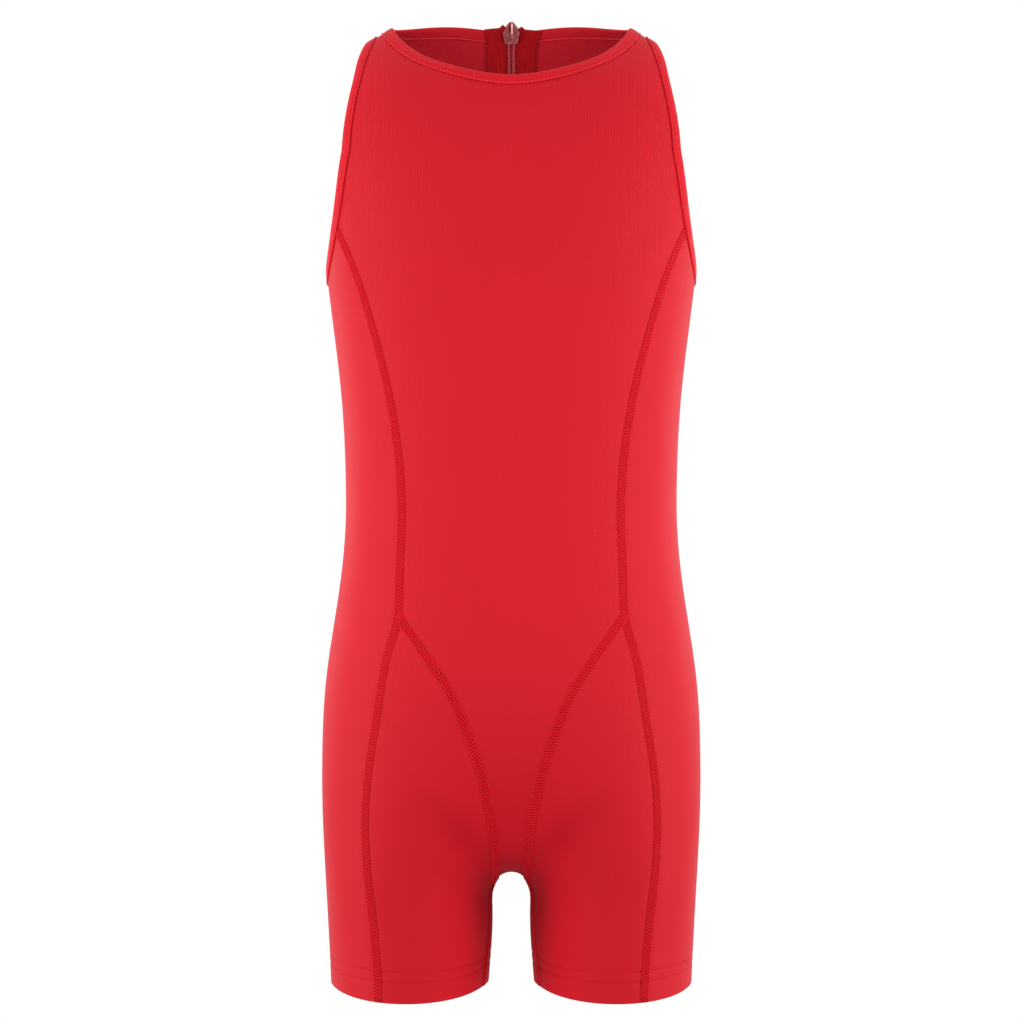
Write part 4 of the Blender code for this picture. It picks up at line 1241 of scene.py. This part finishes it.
def flat_seam(name, curve, flip):
    """A flat seam: a low bed of thread, painted a deeper red as the shade between the
    threads, cover threads that zigzag over it from edge to edge, and three rows of needle
    stitches on top."""
    sewing = context_sewing()
    pitch, half = in_mm(sewing.pitch), in_mm(sewing.seam_width) / 2
    radius = in_mm(sewing.thread) / 2
    curve = mirrored(curve) if flip else curve
    length = arc_run(curve)[-1]

    stations = int(length / BED_STEP) + 1
    distance = np.linspace(0, length, stations)
    rings = []
    for share, height in BED_PROFILE:
        across, high = np.full(stations, share * half), np.full(stations, height)
        rings.append(lay(curve, distance, across, high))
    rings = np.stack(rings, axis=1)
    faces = tube_faces(stations, len(BED_PROFILE), closed=False)
    bed = add_thread(f"{name}_bed", rings.reshape(-1, 3), faces, "seam_bed")
    outward_faces(bed)

    lines = []
    count = int(length / pitch) - 2
    start = (np.arange(count) + 1.0) * (length - 2 * pitch) / count
    share = np.linspace(0, 1, COVER_POINTS)
    for side in (-1, 1):
        low, high = sorted(edge * side for edge in COVER_SPAN)
        across = (low + (high - low) * share) * half
        distance = start[:, None] + (COVER_RISE * (share - 0.5) + 0.25 * side) * pitch
        lift = COVER_HEIGHT * np.sin(np.pi * (0.06 + 0.88 * share)) ** 0.7
        shape = distance.shape
        spots = [np.broadcast_to(v, shape).ravel() for v in (distance, across, lift)]
        lines.append(lay(curve, *spots).reshape(*shape, 3))
    cover = strands(np.concatenate(lines), COVER_THICKNESS / 2, 5)
    add_thread(f"{name}_cover", *cover)

    rows = []
    for share in NEEDLE_ROWS:
        rows.append(dashes(curve, pitch, share * half, NEEDLE_HEIGHT, rise=NEEDLE_RISE))
    needle = strands(np.concatenate(rows), radius, 4)
    add_thread(f"{name}_needle", *needle)


def outward_faces(thing):
    """Turns a closed mesh's faces to look outwards."""
    build = bmesh.new()
    build.from_mesh(thing.data)
    bmesh.ops.recalc_face_normals(build, faces=build.faces)
    build.to_mesh(thing.data)
    build.free()


class BODYSUIT_OT_seams(bpy.types.Operator):
    """Sews the flat seams between the panels"""

    bl_idname = "bodysuit.seams"
    bl_label = "Flat seams"

    def execute(self, context):
        seams = make_seams()
        runs = {
            "side_front_seam": [seams["side_front"], seams["outer_leg"][1:]],
            "leg_seam": [seams["leg"][:1] + TUCK, seams["leg"], seams["inseam"][1:]],
            "side_back_seam": [seams["side_back"]],
        }
        for name, parts in runs.items():
            curve = np.concatenate(parts)
            for side, flip in SIDES:
                flat_seam(f"{name}_{side}", curve, flip)
        below = seams["middle_back"][seams["middle_back"][:, 2] < zip_end_z(seams) - 2]
        flat_seam("middle_back_seam", below, False)
        return {"FINISHED"}


class BODYSUIT_OT_hems(bpy.types.Operator):
    """Sews the two rows of stitches round each hem, and the cover threads inside"""

    bl_idname = "bodysuit.hems"
    bl_label = "Hems"

    def execute(self, context):
        sewing = context_sewing()
        turn = np.linspace(0, 2 * np.pi, 361)
        radius = in_mm(sewing.thread) / 2
        for side, flip in SIDES:
            rails = []
            for number, row in enumerate(HEM_ROWS):
                z = np.full(turn.shape, HEM_Z + row)
                middle = half_radius(turn, z)
                guess = point(-middle * np.sin(turn) - centre_of(z), -middle * np.cos(turn), z)
                rail = onto_form(guess)
                rail = mirrored(rail) if flip else rail
                rails.append(rail)
                line = dashes(rail, in_mm(sewing.hem_pitch), 0.0, HEM_STITCH_LIFT - HEM_GROOVE)
                add_thread(f"hem_{side}_row_{number + 1}", *strands(line, radius, 4))
            self.inside(f"hem_{side}_inside", rails, in_mm(sewing.hem_pitch), radius)
        return {"FINISHED"}

    def inside(self, name, rails, pitch, radius):
        """One looper thread zigzags between the rows on the inside of the hem."""
        low, high = rails
        length = arc_run(low)[-1]
        count = 2 * int(length / pitch)
        distance = np.linspace(0, length - 1, count)
        share = (np.arange(count) % 2)[:, None]
        p = at_distance(low, distance) * (1 - share) + at_distance(high, distance) * share
        p = onto_form(p, 3)
        p = p - outward(p) * (HEM_WALL + 0.12)
        add_thread(name, *strands(p[None], radius, 4))


def under_back(across, z, depth):
    """Points inside the back by a depth, at distances from the middle (right half)."""
    on = cast(point(-across, 0.0, z), (0, 1, 0))
    return on - outward(on) * np.asarray(depth)[..., None]


# The tapes' upper ends have a small point beside the slider and flare outwards, each in
# its own way.
TAPE_TOPS = {  # side: the point's distance from the middle, its height, height beyond, flare
    "right": (5.0, 2.9, 0.7, 2.2),
    "left": (5.2, 1.6, -0.4, 4.6),
}

TAPE_SEWING = (  # name, distance from the middle, height over the form, side, pitch, thickness
    ("topstitch", ZIP_CHANNEL + 2.5, 0.12, 1, 2.4, 0.36),
    ("topstitch_inside", ZIP_CHANNEL + 2.5, -TAPE_DEPTH - TAPE_THICKNESS - 0.1, -1, 2.4, 0.36),
    ("coil_stitch", 1.9, -TAPE_DEPTH + 0.42, 1, 1.6, 0.5),
    ("coil_cord_inside", 1.5, -TAPE_DEPTH - TAPE_THICKNESS / 2 - 1.05, -1, 1.5, 1.4),
)

# The coil is sewn onto the tape, whose edge reaches the middle under it.
TAPE_EDGE = 0.12
RIB_SPACING = 1.3
RIB_STEP = RIB_SPACING / 6
RIB_HEIGHT = 0.09
TAPE_ROWS = 90
# Both faces draw in at the tape's edges by the first, falling off over the second.
TAPE_THINNING, TAPE_THINNING_REACH = 0.25, 0.3
FLARE_LENGTH = 7.0


class BODYSUIT_OT_tapes(bpy.types.Operator):
    """Makes the zip's two woven tapes"""

    bl_idname = "bodysuit.tapes"
    bl_label = "Zip tapes"

    def execute(self, context):
        seams = make_seams()
        bottom = zip_end_z(seams) - TAPE_TAIL
        z = np.linspace(ZIP_TOP, bottom, TAPE_ROWS)
        across = np.arange(TAPE_EDGE, TAPE_OUTER + 0.01, RIB_STEP)
        ribs = RIB_HEIGHT * np.cos(2 * np.pi * (across - TAPE_EDGE) / RIB_SPACING)
        edge = np.minimum(across - TAPE_EDGE, TAPE_OUTER - across)
        thin = TAPE_THINNING * np.exp(-edge / TAPE_THINNING_REACH)
        depths = TAPE_DEPTH + RIB_HEIGHT - ribs + thin
        under = TAPE_DEPTH + TAPE_THICKNESS - RIB_HEIGHT + ribs - thin
        for side, flip in SIDES:
            tip, peak, shoulder, ear = TAPE_TOPS[side]
            steps = (2.4, tip - 1.3, tip, tip + 1.8)
            rise = np.interp(across, steps, (peak - 0.3, peak - 2.1, peak, shoulder))
            top = ZIP_TOP + rise + 0.12 * (TAPE_OUTER - np.maximum(across, 6))
            run = np.linspace(0, 1, TAPE_ROWS)[:, None] ** 1.5
            high = top + (bottom - top) * run
            flare = np.exp(-(((top - high) / FLARE_LENGTH) ** 2))
            wide = across * (1 + ear / TAPE_OUTER * flare)
            above = np.maximum(high - ZIP_TOP, 0)[..., None] * [0, 0.1, 1]
            near = under_back(wide, np.minimum(high, ZIP_TOP), depths) + above
            far = under_back(wide, np.minimum(high, ZIP_TOP), under) + above
            rings = np.concatenate([near, far[:, ::-1]], axis=1)
            faces = tube_faces(len(rings), rings.shape[1], closed=False)
            points = rings.reshape(-1, 3)
            points = mirrored(points) if flip else points
            thing = new_object(f"zip_tape_{side}_cloth", points, faces, material("tape"))
            outward_faces(thing)
            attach(thing, "garment")
            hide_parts(f"zip_tape_{side}")
            length = arc_run(near[:, 0])[-1] * MM
        for side, flip in SIDES:
            for name, reach, height, sign, pitch, thick in TAPE_SEWING:
                line = under_back(np.array(reach), z[2:-2], 0 * z[2:-2])
                line = mirrored(line) if flip else line
                made = dashes(line, pitch, 0.0, height, sign)
                finish = "cord" if name.startswith("coil_cord") else "thread"
                add_thread(f"zip_{name}_{side}", *strands(made, thick / 2, 4), finish)
        return {"FINISHED"}


COIL_CORNERS = 10
COIL_MIDDLE = 1.25
COIL_REACH = 1.35
COIL_HIGH = 0.72


class BODYSUIT_OT_chain(bpy.types.Operator):
    """Makes the two rows of coil, whose turns lock into each other"""

    bl_idname = "bodysuit.chain"
    bl_label = "Zip chain"

    def execute(self, context):
        fittings = context.scene.bodysuit_zip
        seams = make_seams()
        z = np.linspace(CHAIN_TOP, zip_end_z(seams) + CHAIN_END, 400)
        middle = under_back(np.array(0.0), z, 0 * z)
        length = arc_run(middle)[-1]
        pitch = in_mm(fittings.coil_pitch)
        turns = int(length / pitch)
        steps = turns * COIL_CORNERS
        for side, flip in SIDES:
            phase = 0.5 if flip else 0.0
            angle = np.arange(steps + 1) * 2 * np.pi / COIL_CORNERS
            distance = np.clip((angle / (2 * np.pi) + phase) * pitch, 0, length)
            spot = at_distance(middle, distance)
            out = outward(spot)
            across = COIL_MIDDLE - COIL_REACH * np.cos(angle)
            depth = TAPE_DEPTH + TAPE_THICKNESS / 2 + COIL_HIGH * np.sin(angle)
            line = spot - out * depth[:, None]
            line[:, 0] = -across
            line = mirrored(line) if flip else line
            points, faces = strands(line[None], in_mm(fittings.wire) / 2, 5)
            thing = add_thread(f"zip_coil_{side}_turns", points, faces, "coil", "zip_coil")
            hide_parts(f"zip_coil_{side}")
        return {"FINISHED"}


SLIDER_Z = 11.3
SLIDER_PLATE = 1.1
SLIDER_ROOM = 1.45
SLIDER_OUTER_FACE = SLIDER_ROOM + SLIDER_PLATE
SLIDER_OUTLINE = (  # half width, height from the slider's middle
    (3.9, -4.7), (4.3, -3.5), (5.3, 1), (5.6, 2.6), (4.8, 4.5), (3.4, 6.6), (1.9, 8.6),
)
SLIDER_TIP = (0.9, 9.3)
SLIDER_NOTCH = ((1.7, 8.2), (1.75, 5.0), (0.5, 1.7))
FRAME_OUTLINE = ((3.75, -4.6), (4.15, -3.5), (4.95, 0.9))
POST_OUTLINE = ((0.45, 2.0), (0.7, 3.0), (0.7, 7.4), (0.45, 8.6))
POST_SIDE = 0.45
POST_RISE = 0.75
RIM_WIDTH = 0.95
FRAME_WIDTH = 1.25
RIM_RISE = 0.42
JOIN_DEPTH = 0.4
BAIL_HALF = 1.1
BAIL_THICKNESS = 1.0
BAIL_REACH = 2.8
BAIL_SHOULDER = 2.5
BAIL_HEIGHT = 3.9
HINGE_UP = 3.5
HINGE_RISE = 1.5
PULL_THICKNESS = 1.4
PULL_OUTLINE = (  # half width, height from the hinge
    (1.8, -23), (3.4, -21.2), (3.4, -14), (3, -7.5), (3, -0.2), (2.5, 0.7),
)
WINDOW_HALF = 1.7
WINDOW_LENGTH = 4.5
GRIP_HALF = 2.3
GRIP_WIDTH = 0.7
GRIP_RISE = 0.22
GRIP_ROWS = (-20.2, -18.6, -17.0, -15.4)
STOP_HALF = 2.6
STOP_HEIGHT = 2.5


def zip_frame(z):
    """Origin and axes of the zip at a height: across, up along it, and outwards."""
    on = cast(point(0.0, 0.0, z), (0, 1, 0))
    out = outward(on)
    across = np.array([1.0, 0.0, 0.0])
    middle = on - out * (TAPE_DEPTH + TAPE_THICKNESS / 2)
    return middle, np.stack([across, np.cross(across, out), out])


def both_sides(half):
    """A symmetric outline, wound one way round, from distances to the middle by height."""
    return np.array([(a, b) for a, b in half] + [(-a, b) for a, b in half[::-1]])


CORNER_CUT = 0.22


def rounded_outline(outline, rounds=2):
    """Cuts each corner of a closed outline off, at a share of the two sides it joins."""
    for _ in range(rounds):
        after = np.roll(outline, -1, axis=0)
        near = (1 - CORNER_CUT) * outline + CORNER_CUT * after
        far = CORNER_CUT * outline + (1 - CORNER_CUT) * after
        outline = np.stack([near, far], axis=1).reshape(-1, 2)
    return outline


def inset(outline, distance):
    """Moves each point of an outline towards the inside, square to its neighbours' line."""
    run = np.roll(outline, -1, axis=0) - np.roll(outline, 1, axis=0)
    run = run / np.maximum(np.linalg.norm(run, axis=1, keepdims=True), 1e-9)
    return outline + np.stack([-run[:, 1], run[:, 0]], axis=1) * distance


def cast_shape(outline, low, high, edge, axis="w"):
    """A cast block: an outline pushed along a local axis, both of its rims rounded. The
    rings draw in by 1 less the sine of a quarter turn and rise by 1 less its cosine."""
    turn = np.radians([0, 30, 60, 90])
    inwards = edge * (1 - np.sin(turn))
    rises = edge * (1 - np.cos(turn))
    rings = [(inset(outline, i), low + r) for i, r in zip(inwards, rises)]
    rings += [(inset(outline, i), high - r) for i, r in zip(inwards[::-1], rises[::-1])]
    layers = []
    for ring, at in rings:
        at = np.full(len(ring), at)
        order = (ring[:, 0], ring[:, 1], at) if axis == "w" else (at, ring[:, 0], ring[:, 1])
        layers.append(np.stack(order, axis=1))
    count = len(outline)
    faces = tube_faces(len(layers), count, closed=False)
    return np.concatenate(layers), faces


def closed_strip(profile):
    """A strip that runs round an outline and closes on itself, from rows of an outline,
    how far it is moved inwards, and its height."""
    rings = [np.column_stack([inset(r, m), np.full(len(r), at)]) for r, m, at in profile]
    rings = np.stack(rings, axis=1)
    return rings.reshape(-1, 3), tube_faces(len(rings), len(profile), closed=True)


def rim_shape(outline, low, high, width):
    """A raised rim that follows an outline, with a soft crown."""
    profile = ((0.0, low), (0.12, high), (0.5, high + 0.08), (0.88, high), (1.0, low))
    return closed_strip([(outline, 0.15 + share * width, at) for share, at in profile])


def joined(parts):
    """Several closed shapes as one list of points and faces."""
    points, faces, count = [], [], 0
    for some, their_faces in parts:
        points.append(some)
        faces += [[i + count for i in face] for face in their_faces]
        count += len(some)
    return np.concatenate(points), faces


def bail_arch():
    """The bail seen from its side, sunk into the outer plate at both feet."""
    foot, inside = -BAIL_REACH, -BAIL_REACH + BAIL_THICKNESS
    under = BAIL_HEIGHT - BAIL_THICKNESS + 0.1
    outer = [(foot, -JOIN_DEPTH), (foot, BAIL_SHOULDER), (foot + 1.2, BAIL_HEIGHT)]
    inner = [(inside + 0.7, under), (inside, BAIL_SHOULDER - 0.2), (inside, -JOIN_DEPTH)]
    others = [(-v, w) for v, w in outer[::-1] + inner[::-1]]
    ring = outer + others + inner
    return np.array([(v + HINGE_UP, w + SLIDER_OUTER_FACE) for v, w in ring])


class BODYSUIT_OT_slider(bpy.types.Operator):
    """Makes the cast slider, its pull tab and the bottom stop"""

    bl_idname = "bodysuit.slider"
    bl_label = "Slider and pull tab"

    def execute(self, context):
        origin, axes = zip_frame(SLIDER_Z)
        face = SLIDER_OUTER_FACE
        outline = rounded_outline(both_sides((*SLIDER_OUTLINE, SLIDER_TIP)), 1)
        notched = rounded_outline(both_sides(SLIDER_OUTLINE + SLIDER_NOTCH), 1)
        frame = rounded_outline(both_sides(FRAME_OUTLINE), 1)
        slider = [
            cast_shape(outline, SLIDER_ROOM, face, 0.3),
            cast_shape(notched, -face, -SLIDER_ROOM, 0.12),
            cast_shape(rounded_outline(bail_arch(), 1), -BAIL_HALF, BAIL_HALF, 0.25, "u"),
            rim_shape(frame, -face + 0.1, -face - RIM_RISE, FRAME_WIDTH),
            rim_shape(outline, face - 0.1, face + RIM_RISE, RIM_WIDTH),
        ]
        self.add("zip_slider", "garment", joined(slider), origin, axes)
        # The post is painted pale, as a highlight.
        post = rounded_outline(both_sides(POST_OUTLINE) + [POST_SIDE, 0.0], 1)
        shape = cast_shape(post, -face - POST_RISE, SLIDER_ROOM + JOIN_DEPTH, 0.2)
        self.add("zip_slider", "garment", shape, origin, axes, "post", "rubbed")

        origin = origin + np.array([0.0, HINGE_UP, SLIDER_OUTER_FACE + HINGE_RISE]) @ axes
        self.add("zip_pull", "pull_tab", joined(self.pull()), origin, axes)

        z = zip_end_z(make_seams()) + CHAIN_END - SEAM_GAP
        origin, axes = zip_frame(z)
        stop = rounded_outline(both_sides([(STOP_HALF, -STOP_HEIGHT), (STOP_HALF, 0.0)]), 1)
        self.add("zip_bottom_stop", "garment", cast_shape(stop, -1.0, 1.0, 0.3), origin, axes)
        return {"FINISHED"}

    def pull(self):
        """A flat tab with a window at its top, a raised border and four grip bars. The
        tab's face is a strip between its outline and the window's."""
        bar = PULL_THICKNESS / 2
        outline = rounded_outline(both_sides(PULL_OUTLINE))
        corners = [(WINDOW_HALF, -bar - WINDOW_LENGTH), (WINDOW_HALF, -bar)]
        window = rounded_outline(both_sides(corners), 1)
        share = np.linspace(0, 1, 65)[:-1]
        outer = self.by_share(outline, share)
        hole = self.by_share(window, share)
        profile = []
        for ring, edge, soft in ((outer, 0.25, 0.25), (hole, -0.15, 0.15)):
            half = [(ring, edge, -bar), (ring, 0.0, soft - bar)]
            half += [(ring, 0.0, bar - soft), (ring, edge, bar)]
            profile += half if ring is outer else half[::-1]
        parts = [closed_strip(profile)]
        for height in GRIP_ROWS:
            corners = [(GRIP_HALF, height - GRIP_WIDTH / 2), (GRIP_HALF, height + GRIP_WIDTH / 2)]
            grip = rounded_outline(both_sides(corners), 1)
            parts.append(cast_shape(grip, -bar - GRIP_RISE, bar + GRIP_RISE, 0.18))
        return parts

    def by_share(self, outline, share):
        """An outline's points at the same angles round the middle of the window."""
        start = np.array([0.0, -PULL_THICKNESS / 2 - WINDOW_LENGTH / 2])
        angle = -np.pi / 2 + share * 2 * np.pi
        ahead = np.stack([np.cos(angle), np.sin(angle)], axis=1)
        a = outline - start
        b = np.roll(a, -1, axis=0) - a
        across = ahead[:, None, 0] * b[None, :, 1] - ahead[:, None, 1] * b[None, :, 0]
        across = np.where(np.abs(across) < 1e-12, 1e-12, across)
        reach = (a[None, :, 0] * b[None, :, 1] - a[None, :, 1] * b[None, :, 0]) / across
        side = a[None, :, 0] * ahead[:, None, 1] - a[None, :, 1] * ahead[:, None, 0]
        side = side / across
        met = (side >= -1e-9) & (side <= 1 + 1e-9) & (reach > 0)
        reach = np.where(met, reach, 0).max(axis=1)
        return start + ahead * reach[:, None]

    def add(self, node, body, shape, origin, axes, part="cast", finish="zinc"):
        points, faces = shape
        points = origin + points @ axes
        thing = new_object(f"{node}_{part}", points, faces, material(finish), sharp=CAST_EDGE)
        outward_faces(thing)
        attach(thing, body)
        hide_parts(node)


SENSOR = 36.0
CAMERA_X = 0.00045
CAMERA_Z = -0.306
FLOOR_Z = -1.35
FLOOR_SIZE = 4.4
FLOOR_GREY = 0.78

# The front and back softboxes light the trunk and leave the legs to the side ones.
TRUNK = (0, 0, -0.165)
TRUNK_LIGHT = (0.34, 0.54)
GRID_ANGLE = 18
SOFTBOXES = (  # name, place for the left, aim, size, spread in degrees
    ("side", (1.09, -0.36, -0.3), (0, 0, -0.33), (0.5, 1.2), 180),
    ("front", (0.45, -0.72, TRUNK[2]), TRUNK, TRUNK_LIGHT, GRID_ANGLE),
    ("back", (0.8, 0.6, TRUNK[2]), TRUNK, TRUNK_LIGHT, GRID_ANGLE),
)


class BODYSUIT_OT_stage(bpy.types.Operator):
    """Sets up the floor, the soft studio light and the camera"""

    bl_idname = "bodysuit.stage"
    bl_label = "Stage"

    def execute(self, context):
        stage = context.scene.bodysuit_stage
        scene = context.scene
        scene.view_settings.view_transform = "Standard"
        self.surroundings(scene)
        self.floor()
        powers = (stage.side_power, stage.front_power, stage.back_power)
        for sign, side in ((-1, "right"), (1, "left")):
            for (name, place, aim, size, spread), power in zip(SOFTBOXES, powers):
                place = (sign * place[0], *place[1:])
                self.softbox(place, aim, size, spread, power, f"{name}_{side}")
        camera = bpy.data.cameras.new("photo_camera")
        holder = bpy.data.objects.new("photo_camera", camera)
        scene.collection.objects.link(holder)
        holder.location = (CAMERA_X, -stage.distance, CAMERA_Z)
        holder.rotation_euler = (math.pi / 2, 0, 0)
        camera.sensor_width = SENSOR
        camera.lens = SENSOR * stage.distance / stage.across
        camera.clip_start, camera.clip_end = 0.05, 60
        scene.camera = holder
        return {"FINISHED"}

    def surroundings(self, scene):
        """An even white room."""
        world = bpy.data.worlds.new("white_studio")
        world.use_nodes = True
        background = world.node_tree.nodes["Background"]
        background.inputs["Color"].default_value = (1, 1, 1, 1)
        background.inputs["Strength"].default_value = 1.0
        scene.world = world

    def floor(self):
        """A pale floor well below the hems, wide enough to fill every view."""
        corners = np.array([(-1, -1), (1, -1), (1, 1), (-1, 1)]) * FLOOR_SIZE / 2
        points = np.column_stack([corners, np.full(4, FLOOR_Z)]) / MM
        looks = {"Base_Color": (FLOOR_GREY, FLOOR_GREY, FLOOR_GREY, 1), "Roughness": 0.9}
        finish, _ = new_material("matt_studio_floor", **looks, Specular_IOR_Level=0.1)
        new_object("studio_floor", points, [[0, 1, 2, 3]], finish)

    def softbox(self, place, target, size, spread, power, name):
        """An upright softbox. Its grid keeps the light within an angle in degrees."""
        lamp = bpy.data.lights.new(f"softbox_{name}", "AREA")
        lamp.shape = "RECTANGLE"
        lamp.size, lamp.size_y = size
        lamp.spread = math.radians(spread)
        lamp.energy = power
        holder = bpy.data.objects.new(f"softbox_{name}", lamp)
        bpy.context.scene.collection.objects.link(holder)
        holder.location = place
        aim = np.array(target) - np.array(place)
        flat = math.hypot(aim[0], aim[1])
        holder.rotation_euler = (
            math.pi / 2 + math.atan2(aim[2], flat),
            0,
            math.atan2(-aim[0], aim[1]),
        )


OPERATORS = (
    BODYSUIT_OT_front,
    BODYSUIT_OT_side,
    BODYSUIT_OT_back,
    BODYSUIT_OT_bindings,
    BODYSUIT_OT_seams,
    BODYSUIT_OT_hems,
    BODYSUIT_OT_tapes,
    BODYSUIT_OT_chain,
    BODYSUIT_OT_slider,
    BODYSUIT_OT_stage,
)
SETTINGS = {
    "bodysuit_cloth": ClothSettings,
    "bodysuit_sewing": SewingSettings,
    "bodysuit_zip": ZipSettings,
    "bodysuit_stage": StageSettings,
}


class BODYSUIT_PT_panel(bpy.types.Panel):
    """Lists the pieces and their settings"""

    bl_idname = "BODYSUIT_PT_panel"
    bl_label = "Bodysuit"
    bl_space_type = "VIEW_3D"
    bl_region_type = "UI"
    bl_category = "Bodysuit"

    def draw(self, context):
        for operator in OPERATORS:
            self.layout.operator(operator.bl_idname)
        for name, group in SETTINGS.items():
            box = self.layout.box()
            for setting in group.__annotations__:
                box.prop(getattr(context.scene, name), setting)


def register():
    for name, group in SETTINGS.items():
        bpy.utils.register_class(group)
        setattr(bpy.types.Scene, name, bpy.props.PointerProperty(type=group))
    for operator in OPERATORS:
        bpy.utils.register_class(operator)
    bpy.utils.register_class(BODYSUIT_PT_panel)


def unregister():
    bpy.utils.unregister_class(BODYSUIT_PT_panel)
    for operator in reversed(OPERATORS):
        bpy.utils.unregister_class(operator)
    for name, group in SETTINGS.items():
        delattr(bpy.types.Scene, name)
        bpy.utils.unregister_class(group)


def main():
    register()
    for operator in OPERATORS:
        group, name = operator.bl_idname.split(".")
        getattr(getattr(bpy.ops, group), name)()


if __name__ == "__main__":
    main()
